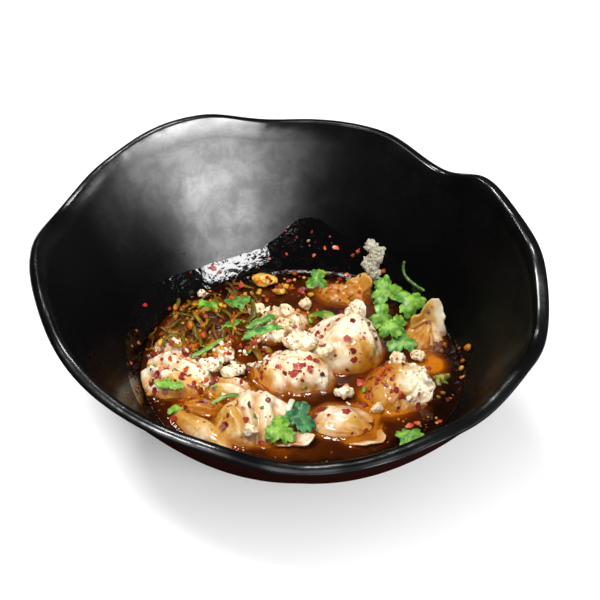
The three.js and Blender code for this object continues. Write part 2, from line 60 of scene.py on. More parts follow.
# The bowl, in millimetres.
FLOOR_RADIUS = 36.0
FLOOR_HEIGHT = 7.0
WALL_THICKNESS = 3.6
FRONT_CURVE = 1.56
BACK_CURVE = 2.48
CURVE_SPREAD = 0.65
SWELL = 4
LIP_HALF_WIDTH = 2.9
LIP_FRONT_WIDER = 0.4
LIP_RIGHT_WIDER = 0.3
LIP_HALF_HEIGHT = 1.9
LIP_WALL_LEAN = math.pi / 3
PLAIN_REACH = 108.3
PLAIN_LEFT_REACH = 0.6
PLAIN_HEIGHT = 97.4
PLAIN_BACK_RISE = 9.2
PLAIN_LEFT_RISE = 10.7
BROTH_LEVEL = 32.5
GAP = 0.3

# What lies farther than this from a place on the broth doesn't show there, in millimetres.
OUT_OF_SIGHT = 30.0

# The foot ring, from the middle outwards: reach and height.
FOOT = [
    (20, 1.6), (36, 1.6), (36.5, 1.3), (36.9, 0.35), (37.3, 0), (41.7, 0), (42.2, 0.4), (42.9, 3.1),
    (43.3, 3.7),
]

# The rim's high and low places: the turn in degrees, the reach of the lip's outer edge, its crest's height.
RIM_KNOTS = np.array([
    [4, 111.3, 93.9], [20, 110, 97.4], [34, 109.5, 101.2], [49, 109.6, 92.2], [66, 111.5, 101.4],
    [86, 111.3, 103.9], [99, 110.8, 104.8], [115, 112.2, 112.2], [131, 114.6, 111.3], [146, 117.4, 105.3],
    [160, 119.5, 98.9], [175, 121.3, 100.1], [195, 117.7, 98.9], [215, 116.6, 91.3], [235, 114.8, 86.8],
    [252, 113, 83.2], [267, 112.4, 77.2], [282, 111.4, 75.8], [300, 110.4, 77.1], [315, 110.2, 75.6],
    [330, 111.4, 78.8], [346, 113.4, 78],
])

# How high the wall is wet above the broth: the turn in degrees and the climb of the wet edge.
WET_EDGE = np.array([
    [4, 0.6], [14, 0.6], [26, 0.6], [39, 0.63], [49, 0.679], [54, 0.705], [59, 0.712], [68, 0.697],
    [71, 0.706], [76, 0.724], [80, 0.742], [83, 0.757], [86.5, 0.764], [90, 0.756], [93, 0.74],
    [95.5, 0.715], [97.5, 0.7], [100, 0.686], [103, 0.666], [108, 0.654], [118, 0.641], [129, 0.644],
    [138, 0.658], [144, 0.669], [151, 0.679], [162, 0.666], [180, 0.61], [220, 0.59], [270, 0.59],
    [320, 0.59], [347, 0.6],
])

# The dumplings, as the CAD has them: middle, half-sizes and the way the gathered tip points, in the plan.
DUMPLINGS = [
    dict(middle=(22, 15, 28), size=(20.5, 19.5, 20.5), tip=(0.28, 0.72, 0.64), pleats=7, depth=0.1, neck=0.1,
         calm=0.7, frill=dict(length=6, width=11, roll=30), ragged=[(9, 6, 9, 0.45)], seed=11),
    dict(middle=(-3, -5, 24.5), size=(21.5, 18, 18), tip=(0.6, -0.5, -0.05), pleats=5, depth=0.08, neck=0.1,
         gold=0.2, ragged=[(14, -13, 9, 0.6), (-18, -8, 8, 0.4)], seed=23),
    dict(middle=(47, -14, 26), size=(17.5, 18, 17.5), tip=(0.6, -0.35, 0.7), pleats=9, depth=0.14, neck=0.08,
         calm=0.35, frill=dict(length=5, width=15, roll=40), ragged=[(56, -8, 9, 1.0), (56, -20, 10, 1.2)],
         gold=0.15, seed=31),
    dict(middle=(19, -37, 24), size=(18.5, 13, 14.5), tip=(0.75, -0.5, 0.45), pleats=6, depth=0.1, neck=0.1,
         frill=dict(towards=(0.6, -0.65, 0.47), length=9, width=22, roll=-20), calm=0.4, gold=0.3, seed=43),
    dict(middle=(-20, -37, 25.5), size=(20.5, 19, 18.5), tip=(0, 0.35, 0.93), pleats=5, depth=0.2, neck=0.06,
         frill=dict(towards=(0.8, -0.5, 0.36), length=11, width=20, roll=-20), gold=0.3, seed=57),
    dict(middle=(-58, -6, 27.5), size=(19.5, 17, 14), tip=(-0.3, 0.85, 0.4), pleats=6, depth=0.12, neck=0.06,
         frill=dict(length=8, width=22, roll=0), pale=0.35, ragged=[(-64, 2, 11, 0.6)], seed=61),
    dict(middle=(60, 23, 22.5), size=(14, 14, 14.5), tip=(0.25, 0.2, 0.92), pleats=6, depth=0.2, neck=0.2,
         frill=dict(length=13, width=18, roll=65, point=1.25), pale=0.1, ragged=[(62, 24, 10, 0.7)], seed=73),
    dict(middle=(-44, -44, 28), size=(21.5, 7.5, 9.5), yaw=-42, tip=(-1, 0, 0.1), pleats=4, depth=0.08,
         neck=0.05, pale=0.4, calm=0.15, gold=0.35, seed=83),
    dict(middle=(22, 57, 22.5), size=(15.5, 12, 14), tip=(0.55, 0.2, 0.8), pleats=6, depth=0.16, neck=0.12,
         frill=dict(length=7, width=14, roll=50), gold=0.3, ragged=[(22, 57, 14, 0.7)], seed=97),
    dict(middle=(-32, -14, 25.5), size=(13, 8.5, 12), yaw=-8, tip=(0.95, -0.1, 0.1), pleats=5, depth=0.12,
         neck=0.1, calm=0.4, seed=101),
    dict(middle=(-9, 31, 25), size=(18, 13.5, 14.5), yaw=12, tip=(-0.6, 0.5, 0.6), pleats=6, depth=0.14,
         neck=0.1, pale=0.1, gold=0.3, ragged=[(-9, 31, 16, 1.0)], seed=113),
    dict(middle=(-46, -27, 25), size=(13, 6.5, 10.5), yaw=-12, tip=(0.95, -0.1, 0.1), pleats=4, depth=0.1,
         neck=0.1, calm=0.5, pale=-0.25, gold=1.1, seed=127),
]

# The thickness of the loose wrapper in millimetres, and the mesh step of a dumpling's skin in metres.
WRAPPER = 1.3
SKIN_STEP = 0.00055

# Creases pressed into the dumplings, by the dumpling's number: from, to, depth and width, in the plan.
CREASES = {
    1: [((28, 30), (9, 10), 1.1, 1.5), ((31, 29), (39, 8), 1.0, 1.4), ((14, 6), (30, 1), 0.6, 1.8)],
    2: [((-9, -7), (-3, -21), 1.0, 1.6), ((0, -16), (14, -19), 1.8, 1.8), ((-22, -3), (-13, -17), 0.9, 1.8)],
    3: [((45, -6), (42, -24), 0.8, 1.5), ((40, -24), (52, -29), 0.8, 1.5)],
    4: [((24, -30), (34, -39), 0.8, 1.6)],
    5: [((-19, -26), (-18.5, -54), 2.4, 1.5), ((-30, -33), (-22, -52), 1.4, 1.6),
        ((-11, -31), (-8, -51), 1.2, 1.6)],
    6: [((-75, 0), (-52, -13), 1.6, 1.8), ((-64, 8), (-45, -6), 1.2, 1.6),
        ((-73, -10), (-57, -20), 1.2, 1.6)],
    9: [((14, 62), (31, 49), 1.3, 1.5)],
    10: [((-43, -12), (-22, -17), 1.2, 1.3)],
    11: [((-21, 36), (-1, 30), 1.3, 1.5), ((-14, 41), (-10, 24), 1.0, 1.3)],
    12: [((-56, -25), (-37, -28), 0.9, 1.2)],
}

# Where the wrappers are stained yellow by the oil: place, radius and strength, in the plan.
OIL_STAINS = [
    (35, -10, 11, 2.2), (39, -3, 8, 1.0), (43, -31, 8, 1.0), (-20, -9, 7, 0.9), (12, -2, 7, 0.5),
    (30, 4, 6, 0.5), (28, -44, 9, 0.9), (12, -46, 6, 0.5), (-9, -49, 6, 0.7), (-30, -44, 7, 0.7),
    (-60, -20, 7, 0.6), (-50, 2, 7, 0.6), (56, 17, 8, 1.2), (24, 54, 14, 1.9), (-14, 33, 8, 0.4),
    (-36, -52, 5, 0.5), (22, 24, 7, 0.5), (-34, -10, 5, 0.7), (52, -4, 6, 0.5), (-46, -27, 14, 1.9),
    (-16, -14, 5, 0.7), (44, -28, 6, 0.8), (-22, -50, 5, 0.5), (60, 26, 8, 1.2),
]

# Painted glow: where the broth is painted glowing orange, as if lit through from pale food under it.
GLOWS = [
    (65, 3, 7, 2.5), (43, -28, 8, 1.2), (2, 60, 8, 0.2), (-16, 56, 8, 0.3), (16, 64, 7, 0.2),
    (-41, -22, 9, 0.9), (-44, 24, 14, 0.7), (58, 26, 6, 0.5), (34, 46, 7, 0.4), (36, -30, 6, 0.7),
    (6, 46, 9, 0.5), (-60, 20, 8, 0.6), (-8, -56, 6, 0.6), (-30, 4, 8, 0.6), (-12, 12, 9, 0.5),
    (31, -20, 7, 1.1),
]

# Where chilli flakes lie thick: place, radius and how thick, in the plan.
FLAKE_CLUSTERS = [
    (1, -9, 7, 1.0), (-12, 2, 9, 0.9), (-24, 14, 8, 1.0), (-28, -3, 9, 1.0), (-40, -4, 8, 0.9),
    (-45, -17, 8, 0.9), (-60, -14, 10, 0.7), (-54, 6, 8, 0.8), (9, -34, 6, 0.9), (33, -22, 6, 0.9),
    (41, -14, 7, 1.0), (36, -8, 6, 0.5), (56, -38, 8, 0.9), (-4, 64, 10, 0.9), (-30, 60, 9, 0.6),
    (-48, 34, 14, 0.4), (24, 12, 12, 0.3), (-24, -40, 9, 0.35), (47, -25, 6, 0.4), (64, 28, 6, 0.3),
    (-68, 10, 5, 0.5), (20, 66, 8, 0.8), (8, 58, 9, 0.7), (-16, 60, 8, 0.7), (68, -20, 5, 0.4),
    (-8, 22, 9, 0.8), (-38, 10, 8, 0.8), (-46, -26, 7, 0.5), (-64, -24, 6, 0.5), (10, 30, 7, 0.6),
]

# Where orange and yellow bits lie thick.
BIT_CLUSTERS = [
    (-62, 18, 8, 1.0), (-52, 14, 8, 1.0), (-38, 18, 8, 1.0), (-31, 21, 7, 0.9), (-28, 42, 8, 0.7),
    (-20, 54, 7, 1.0), (-5, 66, 9, 0.9), (14, 68, 8, 0.7), (62, -36, 5, 1.0), (67, -22, 4, 1.0),
    (66, 8, 5, 0.4), (-12, 44, 8, 0.8), (-68, -15, 5, 0.8), (-36, 3, 6, 0.7), (38, -22, 4, 0.5),
    (-46, -18, 5, 0.6), (8, 42, 7, 0.7), (46, 2, 4, 0.4), (-24, 12, 7, 0.6), (-44, 30, 12, 0.9),
    (-54, 38, 9, 0.6),
]

# Where fine white crumbs lie thick.
CRUMB_CLUSTERS = [
    (-10, 6, 8, 0.9), (-24, 3, 7, 0.9), (-38, 0, 8, 0.9), (-42, -9, 7, 0.9), (0, 20, 8, 0.8),
    (-16, 30, 8, 0.6), (-20, 18, 7, 0.8), (28, 33, 5, 0.8), (46, 0, 5, 0.8), (20, -24, 4, 0.6),
    (34, -32, 3, 0.6), (6, 6, 6, 0.6), (48, 8, 4, 0.6), (-30, -8, 6, 0.9), (-12, 42, 6, 0.7),
    (-34, 8, 6, 0.8), (10, 38, 5, 0.6), (58, 0, 5, 1.0), (56, -9, 6, 0.5), (57, -18, 6, 0.5),
    (53, -27, 4, 0.4), (24, 31, 4, 0.8), (3, 12, 6, 0.9),
]

# The largest flakes: place, length, width, turn in degrees and tone, in the plan.
LARGE_FLAKES = [
    (-68, 8, 5.4, 3.4, 20, 0.3), (-54, 3, 5.5, 3.2, -10, 0.2), (-32, 62, 3.6, 3, 40, 0.7),
    (-37, 62, 3, 2.6, 0, 0.5), (-5, 68, 2.8, 3.4, 70, 0.8), (-3.6, 62, 3.6, 3, 10, 0.85),
    (-11, 19, 2.6, 2.2, 0, 0.6), (-29, 15, 3.4, 2.6, 30, 0.1), (-22, 15, 3.4, 2.4, 0, 0.5),
    (-17, 26, 2.8, 2.4, 60, 0.2), (-40, -3, 3.4, 2.6, 15, 0.6), (-28, -3, 2.8, 2.4, 0, 0.6),
    (23, 5, 4, 2.8, -35, 0.5), (25.5, 15, 2.8, 2.2, 10, 0.2), (9, 14, 2.8, 2.2, 40, 0.4),
    (11, -1, 3, 2.2, 0, 0.6), (5, -4, 3, 2.4, 30, 0.6), (37, 14, 2, 1.8, 0, 0.1),
    (26, -2, 2.8, 2.6, 20, 0.5), (63, 26, 2.6, 1.8, 10, 0.1), (-66, -12, 3.8, 2.6, 20, 0.4),
    (-60, -17, 3.8, 2.2, -10, 0.2), (-54.6, -14, 2.4, 2, 80, 0.3), (-67, -19, 3.2, 2.6, 30, 0.4),
    (-62, -20, 2.8, 2.4, 0, 0.3), (-49, -17, 4.4, 3.2, 15, 0.2), (-46, -18, 3.6, 2.8, 60, 0.4),
    (-40, -14, 3.8, 2.8, -20, 0.1), (-38, -9, 2.4, 2, 0, 0.5), (-33, -46, 4, 2.8, 30, 0.3),
    (-24, -44, 3.8, 2.4, -15, 0.45), (-28, -35, 2.8, 2, 10, 0.3), (-24, -1, 2.4, 2, 0, 0.2),
    (-57, -36, 3.8, 2.4, -25, 0.8), (-17, -52, 3.2, 2, 0, 0.8), (0, -9, 5.5, 2.6, 8, 0.75),
    (5, -11, 3.4, 2.4, -60, 0.7), (25, -4, 2.8, 2.6, 0, 0.6), (39.5, -14.5, 5.6, 2.6, 48, 0.45),
    (43, -18, 2, 1.8, 0, 0.3), (47.4, -25.5, 3, 2.4, 20, 0.5), (29, -10.5, 3.8, 3.4, 45, 0.8),
    (32, -21, 2.8, 2.4, 0, 0.4), (30, -26, 4, 3.6, 70, 0.35), (11, -32, 5.4, 3.4, 35, 0.2),
    (21.5, -36, 4.2, 2.6, 5, 0.5), (7.3, -35.5, 3.2, 2.2, -15, 0.4), (30, -44, 3, 2.2, 60, 0.8),
    (50.5, -40, 3.8, 2.2, 5, 0.85), (54, -38.5, 2.6, 2, 0, 0.9), (64.5, -37, 2.6, 2, 30, 0.8),
    (-4, -12, 2.4, 1.8, 20, 0.5), (-10, -8, 2.2, 1.8, 0, 0.4),
]

# Bits stuck to the wall just above the broth: the turn in degrees, the climb, the size and the tone.
WALL_BITS = [
    (5.2, 0.643, 4.4, 0.45), (2.3, 0.6, 3, 0.2), (359.5, 0.588, 3.2, 0.8), (355, 0.592, 1.8, 0.75),
    (69, 0.677, 2.6, 0.12), (70.5, 0.66, 2.2, 0.05), (60.6, 0.652, 2.8, 0.15), (58, 0.642, 3.0, 0.2),
    (170, 0.58, 2.4, 0.1), (174, 0.6, 1.8, 0.05), (9, 0.6, 1.8, 0.3), (166, 0.61, 1.6, 0.1),
]

# Coriander leaflets: the place, the blade's reach, the way its tip turns, its tilt about X and Y, and how
# dark its green is.
LEAVES = [
    dict(at=(44, 52), reach=9.5, turn=100, tilt=(32, -8), dark=0.15),
    dict(at=(55, 44), reach=10, turn=20, tilt=(26, 8), dark=0.05),
    dict(at=(41, 33), reach=8.5, turn=95, tilt=(34, 10), dark=0.12),
    dict(at=(48, 27), reach=7.5, turn=-60, tilt=(24, 12), dark=0.0),
    dict(at=(50, 16), reach=8, turn=-20, tilt=(26, 8), dark=0.35),
    dict(at=(44, 19), reach=6.5, turn=200, tilt=(30, -10), dark=0.05),
    dict(at=(0, -42), reach=8.5, turn=70, tilt=(20, -12), dark=1.0),
    dict(at=(-8, -50), reach=9, turn=205, tilt=(24, 8), dark=0.0),
    dict(at=(9, 65), reach=7, turn=80, tilt=(22, -6), dark=0.15),
    dict(at=(50, -50), reach=7.5, turn=20, tilt=(12, 4), dark=0.2),
]

# Where the teeth are on each side of a leaflet's lobe, from -1 to 1.
TEETH_AT = (-0.68, -0.24, 0.26, 0.7)

# How far each crumb is soaked by the broth.
CRUMB_SOAKED = [0, 0.1, 0.3, 0.1, 0, 0.2, 0.1, 0.3, 0.35, 0.45, 0.15, 0.1, 0.35, 0, 0.25, 0.1, 0.15, 0.1]

# How dark the green of each herb strip is, below 0 for olive, or None for a stalk.
HERB_DARKNESS = [0.1, 0.5, 0.3, 0.5, 0.15, None, 0.1, -0.3, None, 0.05, -1.0, None]


# Small tools


def in_row_frame(points):
    """Plan points in millimetres, in metres in the row frame."""
    return (np.asarray(points, float) + PLAN_SHIFT) * MM


def smoothstep(value, low, high):
    t = np.clip((value - low) / (high - low), 0, 1)
    return t * t * (3 - 2 * t)


def rough(points, size, seed, octaves=1):
    """Smooth random heights from about -1 to 1 that change over about size, in the points' own unit."""
    shift = Vector((seed * 1.37, seed * 0.71, seed * 2.13))
    heights = np.zeros(len(points))
    for octave in range(octaves):
        scale = 2**octave / size
        heights += np.array([noise.noise(Vector(p) * scale + shift) for p in points.tolist()]) / 2**octave
    return heights


def turned_onto(direction, start=(0, 0, 1)):
    """The least turn that brings start onto direction."""
    return np.array(Vector(start).rotation_difference(Vector(direction)).to_matrix())


def about(axis, degrees):
    """A turn about one axis."""
    return np.array(Matrix.Rotation(math.radians(degrees), 3, axis))


def full_turn(steps):
    """Turns in radians, evenly spaced once round."""
    return np.linspace(0, TAU, steps, endpoint=False)


def new_mesh(name, points, faces):
    mesh = bpy.data.meshes.new(name)
    mesh.from_pydata(np.asarray(points).tolist(), [], faces)
    return mesh


def add_object(name, data):
    thing = bpy.data.objects.new(name, data)
    bpy.context.scene.collection.objects.link(thing)
    return thing


def mark_points(mesh, **marks):
    """Gives the mesh's points numbers under the marks' names, which finishes and scattering read."""
    for mark, values in marks.items():
        mesh.attributes.new(mark, "FLOAT", "POINT").data.foreach_set("value", np.asarray(values, np.float32))


def shown(name, points, faces, finish, marks=None, smooth=True):
    """A piece of the object from points in metres in the row frame, riding on the one body."""
    return shown_mesh(name, new_mesh(name, points, faces), finish, marks, smooth)


def shown_mesh(name, mesh, finish, marks=None, smooth=True):
    """The same from a mesh."""
    mesh.name = name
    mark_points(mesh, **(marks or {}))
    mesh.polygons.foreach_set("use_smooth", [smooth] * len(mesh.polygons))
    mesh.materials.clear()
    mesh.materials.append(finish)
    mesh.update()
    piece = add_object(name, mesh)
    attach(piece, "root")
    return piece


def skin(first, rings, last):
    """Points and faces of a closed surface over rings between two poles, facing out when the rings turn
    left round the way from first to last."""
    rows, columns, _ = rings.shape
    points = np.vstack([np.reshape(first, (1, 3)), rings.reshape(-1, 3), np.reshape(last, (1, 3))])
    index = 1 + np.arange(rows * columns).reshape(rows, columns)
    right = np.roll(index, -1, axis=1)
    quads = np.stack([index[:-1], right[:-1], right[1:], index[1:]], axis=-1).reshape(-1, 4)
    start = np.stack([np.zeros(columns, int), right[0], index[0]], axis=-1)
    end = np.stack([index[-1], right[-1], np.full(columns, len(points) - 1)], axis=-1)
    return points, quads.tolist() + start.tolist() + end.tolist()


def joined(parts):
    """Several pairs of points and faces as one."""
    points, faces, count = [], [], 0
    for these, around in parts:
        points.append(these)
        faces += [[corner + count for corner in face] for face in around]
        count += len(these)
    return np.vstack(points), faces


def made_by(thing):
    """The mesh that an object's modifiers make. The object itself goes."""
    graph = bpy.context.evaluated_depsgraph_get()
    mesh = bpy.data.meshes.new_from_object(thing.evaluated_get(graph))
    bpy.data.objects.remove(thing)
    return mesh


def modified(mesh, **modifiers):
    """What modifiers, given as TYPE=settings, make of a mesh."""
    shape = add_object("rough shape", mesh)
    for kind, settings in modifiers.items():
        modifier = shape.modifiers.new(kind, kind)
        for setting, value in settings.items():
            setattr(modifier, setting, value)
    return made_by(shape)


def points_of(mesh, kind="co"):
    vectors = np.zeros(len(mesh.vertices) * 3)
    mesh.vertices.foreach_get(kind, vectors)
    return vectors.reshape(-1, 3)


def normals_of(mesh):
    return points_of(mesh, "normal")


def set_points(mesh, points):
    mesh.vertices.foreach_set("co", np.ascontiguousarray(points, float).ravel())
    mesh.update()


def tree_of(meshes):
    """What lies under a point can be looked up in this, in metres."""
    parts = [(points_of(mesh), [list(face.vertices) for face in mesh.polygons]) for mesh in meshes]
    points, faces = joined(parts)
    return BVHTree.FromPolygons(points.tolist(), faces)


# The bowl's form


def rim_at(turn):
    """The rim's reach and height at turns in radians, on a smooth closed line through the knots."""
    degrees = np.degrees(turn) % 360
    knots = np.vstack([RIM_KNOTS + (lap * 360, 0, 0) for lap in (-1, 0, 1)])
    after = np.searchsorted(knots[:, 0], degrees, side="right")
    p0, p1, p2, p3 = (knots[after + step] for step in (-2, -1, 0, 1))
    span = (p2 - p1)[..., :1]
    t = (degrees[..., None] - p1[..., :1]) / span
    leave = (p2 - p0) / (p2 - p0)[..., :1] * span
    arrive = (p3 - p1) / (p3 - p1)[..., :1] * span
    bend = 2 * (p1 - p2) + leave + arrive
    here = p1 + t * (leave + t * (-3 * p1 + 3 * p2 - 2 * leave - arrive + t * bend))
    return here[..., 1], here[..., 2]


def lip_half_width(turn):
    return LIP_HALF_WIDTH - LIP_FRONT_WIDER * np.sin(turn) + LIP_RIGHT_WIDER * np.cos(turn)


def wall_at(turn, climb, inset):
    """The wall's reach, height and lean. climb runs from the floor's edge, 0, to the rim, 1."""
    turn, climb = np.broadcast_arrays(np.asarray(turn, float), np.asarray(climb, float))
    rim_reach, rim_height = rim_at(turn)
    top_reach = rim_reach - lip_half_width(turn) - WALL_THICKNESS / 2 * math.sin(LIP_WALL_LEAN)
    top_height = rim_height - LIP_HALF_HEIGHT + WALL_THICKNESS / 2 * math.cos(LIP_WALL_LEAN)
    backness = (0.5 + 0.5 * np.sin(turn)) ** CURVE_SPREAD
    curve = FRONT_CURVE + (BACK_CURVE - FRONT_CURVE) * backness
    reach = PLAIN_REACH - PLAIN_LEFT_REACH * np.cos(turn)
    height = PLAIN_HEIGHT + PLAIN_BACK_RISE * np.sin(turn) - PLAIN_LEFT_RISE * np.cos(turn)

    def along(t):
        r = FLOOR_RADIUS + (reach - FLOOR_RADIUS) * t + (top_reach - reach) * t**SWELL
        z = FLOOR_HEIGHT + (height - FLOOR_HEIGHT) * t**curve + (top_height - height) * t**SWELL
        return r, z

    r, z = along(climb)
    r0, z0 = along(np.maximum(climb - 0.01, 0))
    r1, z1 = along(climb + 0.01)
    lean = np.arctan2(z1 - z0, r1 - r0)
    return r - inset * np.sin(lean), z + inset * np.cos(lean), lean


def around(turn, r, z):
    """Plan points at turns in radians, reaches and heights."""
    turn, r, z = np.broadcast_arrays(turn, r, z)
    return np.stack([r * np.cos(turn), r * np.sin(turn), z], axis=-1)


def lip_at(turn, over):
    """The rounded lip: over runs from its outer side, 0, over the crest to its inner side, pi."""
    r, z, lean = wall_at(turn, np.ones_like(turn), -WALL_THICKNESS / 2)
    angle = lean - math.pi / 2 + over
    return r + lip_half_width(turn) * np.cos(angle), z + LIP_HALF_HEIGHT * np.sin(angle)


def wall_reach(turn, height, inset):
    """How far out the inner wall is at each turn and height."""
    climbs = np.linspace(0, 1, 70)
    r, z, _ = wall_at(np.asarray(turn)[:, None], climbs[None, :], inset)
    above = np.clip((z < np.asarray(height)[:, None]).sum(axis=1), 1, len(climbs) - 1)
    rows = np.arange(len(r))
    z0, z1, r0, r1 = z[rows, above - 1], z[rows, above], r[rows, above - 1], r[rows, above]
    return r0 + (r1 - r0) * np.clip((height - z0) / np.maximum(z1 - z0, 1e-6), 0, 1)


def kept_inside(points, inset):
    """Plan points, each moved in where it would cross the bowl's inner wall."""
    reach = np.hypot(points[:, 0], points[:, 1])
    turn = np.arctan2(points[:, 1], points[:, 0])
    most = wall_reach(turn, points[:, 2], inset)
    scale = np.minimum(1, most / np.maximum(reach, 1e-6))
    inside = points.copy()
    inside[:, :2] *= scale[:, None]
    inside[:, 2] = np.maximum(inside[:, 2], FLOOR_HEIGHT + inset)
    return inside


# Finishes


class Nodes:
    """Adds nodes to one tree, with their inputs as values or as links from other nodes."""

    def __init__(self, tree, material=None):
        self.tree = tree
        self.material = material

    def feed(self, socket, value):
        if isinstance(value, bpy.types.NodeSocket):
            self.tree.links.new(value, socket)
        else:
            socket.default_value = value

    def add(self, kind, inputs=None, **settings):
        node = self.tree.nodes.new(kind)
        for setting, value in settings.items():
            setattr(node, setting, value)
        for key, value in (inputs or {}).items():
            self.feed(node.inputs[key], value)
        return node

    def math(self, operation, a, b):
        return self.add("ShaderNodeMath", {0: a, 1: b}, operation=operation).outputs[0]

    def plus(self, a, b):
        return self.math("ADD", a, b)

    def minus(self, a, b):
        return self.math("SUBTRACT", a, b)

    def times(self, a, b):
        return self.math("MULTIPLY", a, b)

    def over(self, a, b):
        return self.math("DIVIDE", a, b)

    def between(self, share, a, b):
        """The number a, turning to b by share."""
        return self.add("ShaderNodeMix", {0: share, 2: a, 3: b}).outputs[0]

    def ranged(self, value, low, high, to_low=0.0, to_high=1.0):
        inputs = {"Value": value, "From Min": low, "From Max": high, "To Min": to_low, "To Max": to_high}
        return self.add("ShaderNodeMapRange", inputs, interpolation_type="SMOOTHSTEP").outputs[0]

    def mixed(self, share, a, b):
        """The colour a, turning to b by share."""
        node = self.add("ShaderNodeMix", {0: share}, data_type="RGBA")
        for index, colour in ((6, a), (7, b)):
            self.feed(node.inputs[index], (*colour, 1.0) if isinstance(colour, tuple) else colour)
        return node.outputs[2]

    def layered(self, value, colour, *layers):
        """The colour under layers (low, high, tint). Each comes in as value goes from low to high."""
        for low, high, tint in layers:
            colour = self.mixed(self.ranged(value, low, high), colour, tint)
        return colour

    def mark(self, name):
        return self.add("ShaderNodeAttribute", attribute_name=name).outputs["Fac"]

    def place(self):
        return self.add("ShaderNodeTexCoord").outputs["Object"]

    def noise(self, size, detail, rough=0.5, warp=0.0):
        """Noise whose lumps are about size metres."""
        scale = self.over(1.0, size) if isinstance(size, bpy.types.NodeSocket) else 1 / size
        inputs = {
            "Vector": self.place(), "Scale": scale, "Detail": detail, "Roughness": rough, "Distortion": warp}
        return self.add("ShaderNodeTexNoise", inputs).outputs["Fac"]

    def group(self, tree, **inputs):
        return self.add("ShaderNodeGroup", inputs, node_tree=tree).outputs

    def specks(self, size, apart, share):
        return self.group(SPECKS, Size=size, Apart=apart, Share=share)

    def relief(self, size, height, detail=3.0):
        return self.group(RELIEF, Size=size, Height=height, Detail=detail)["Normal"]

    def finish(self, colour, roughness, normal=None, gloss=0.5, under=None, coat=None, alpha=1.0):
        """The material with its shader. under has the weight, radius and scale of the light that goes in
        under the surface, and coat the clear coat's weight and roughness."""
        inputs = {"Base Color": colour, "Roughness": roughness, "Specular IOR Level": gloss, "Alpha": alpha}
        if normal is not None:
            inputs["Normal"] = normal
        if under:
            inputs.update(zip(("Subsurface Weight", "Subsurface Radius", "Subsurface Scale"), under))
        if coat:
            inputs.update(zip(("Coat Weight", "Coat Roughness"), coat))
        shader = self.add("ShaderNodeBsdfPrincipled", inputs)
        self.add("ShaderNodeOutputMaterial", {"Surface": shader.outputs[0]})
        return self.material


FLOAT, VECTOR = "NodeSocketFloat", "NodeSocketVector"


def shader_group(name, outputs, **defaults):
    """A shader group with number inputs and {name: type} outputs: its tree, Nodes and sockets."""
    tree = bpy.data.node_groups.new(name, "ShaderNodeTree")
    for key, default in defaults.items():
        tree.interface.new_socket(name=key, in_out="INPUT", socket_type=FLOAT).default_value = default
    for key, kind in outputs.items():
        tree.interface.new_socket(name=key, in_out="OUTPUT", socket_type=kind)
    n = Nodes(tree)
    return tree, n, n.add("NodeGroupInput").outputs, n.add("NodeGroupOutput").inputs


def make_patches_group():
    """Soft patches, 0 to 1, of about Size metres. Share is about how much of the surface they cover."""
    tree, n, given, out = shader_group(
        "Patches", {"Mask": FLOAT}, Size=0.01, Share=0.5, Softness=0.1, Detail=2.0)
    middle = n.ranged(given["Share"], 0.0, 1.0, 0.72, 0.28)
    low, high = n.minus(middle, given["Softness"]), n.plus(middle, given["Softness"])
    n.feed(out["Mask"], n.ranged(n.noise(given["Size"], given["Detail"]), low, high))
    return tree


def make_specks_group():
    """Small round specks, 0 to 1, of about Size metres, in a few of the cells that are Apart metres wide."""
    tree, n, given, out = shader_group(
        "Specks", {"Mask": FLOAT, "Tone": FLOAT}, Size=0.0006, Apart=0.003, Share=0.5)
    cells = n.add("ShaderNodeTexVoronoi", {"Vector": n.place(), "Scale": n.over(1.0, given["Apart"])}).outputs
    tone = n.add("ShaderNodeSeparateColor", {"Color": cells["Color"]}).outputs
    radius = n.over(given["Size"], given["Apart"])
    near = n.ranged(cells["Distance"], n.times(radius, 1.3), n.times(radius, 0.7))
    n.feed(out["Mask"], n.times(near, n.math("LESS_THAN", tone[0], given["Share"])))
    n.feed(out["Tone"], tone[1])
    return tree


def make_waterline_group():
    """How stained a surface is just above the broth, and how deep it is under it, 0 to 1 each."""
    tree, n, given, out = shader_group(
        "Waterline", {"Stain": FLOAT, "Sunk": FLOAT}, Level=BROTH_LEVEL * MM, Reach=0.006, Depth=0.012)
    height = n.add("ShaderNodeSeparateXYZ", {0: n.place()}).outputs[2]
    wander = n.times(n.minus(n.noise(0.007, 3.0), 0.5), given["Reach"])
    above = n.plus(n.minus(height, given["Level"]), n.times(wander, 2.2))
    n.feed(out["Stain"], n.ranged(n.over(above, given["Reach"]), 1.0, 0.0))
    n.feed(out["Sunk"], n.ranged(n.over(n.minus(given["Level"], height), given["Depth"]), 0.0, 1.0))
    return tree


def make_relief_group():
    """A normal with fine and finer bumps. Height is in metres."""
    tree, n, given, out = shader_group("Relief", {"Normal": VECTOR}, Size=0.003, Height=0.0002, Detail=4.0)
    height = n.times(n.noise(given["Size"], given["Detail"], rough=0.6), given["Height"])
    bump = n.add("ShaderNodeBump", {"Height": height, "Distance": 1.0, "Strength": 1.0})
    n.feed(out["Normal"], bump.outputs[0])
    return tree


PATCHES = make_patches_group()
SPECKS = make_specks_group()
WATERLINE = make_waterline_group()
RELIEF = make_relief_group()

CHILLI_RED = (0.2, 0.012, 0.008)
# Broth colours: the orange and amber are a painted glow, and the darkest is painted shade near the wall.
BROTH_ORANGE = (0.5, 0.15, 0.004)
BROTH_AMBER = (0.15, 0.028, 0.0012)
BROTH_BROWN = (0.06, 0.012, 0.001)
BROTH_DEEP = (0.033, 0.0045, 0.0008)
BROTH_DARK = (0.009, 0.0022, 0.0007)


def new_finish(name):
    """The Nodes of a new empty material."""
    material = bpy.data.materials.new(name)
    material.use_nodes = True
    material.node_tree.nodes.clear()
    return Nodes(material.node_tree, material)


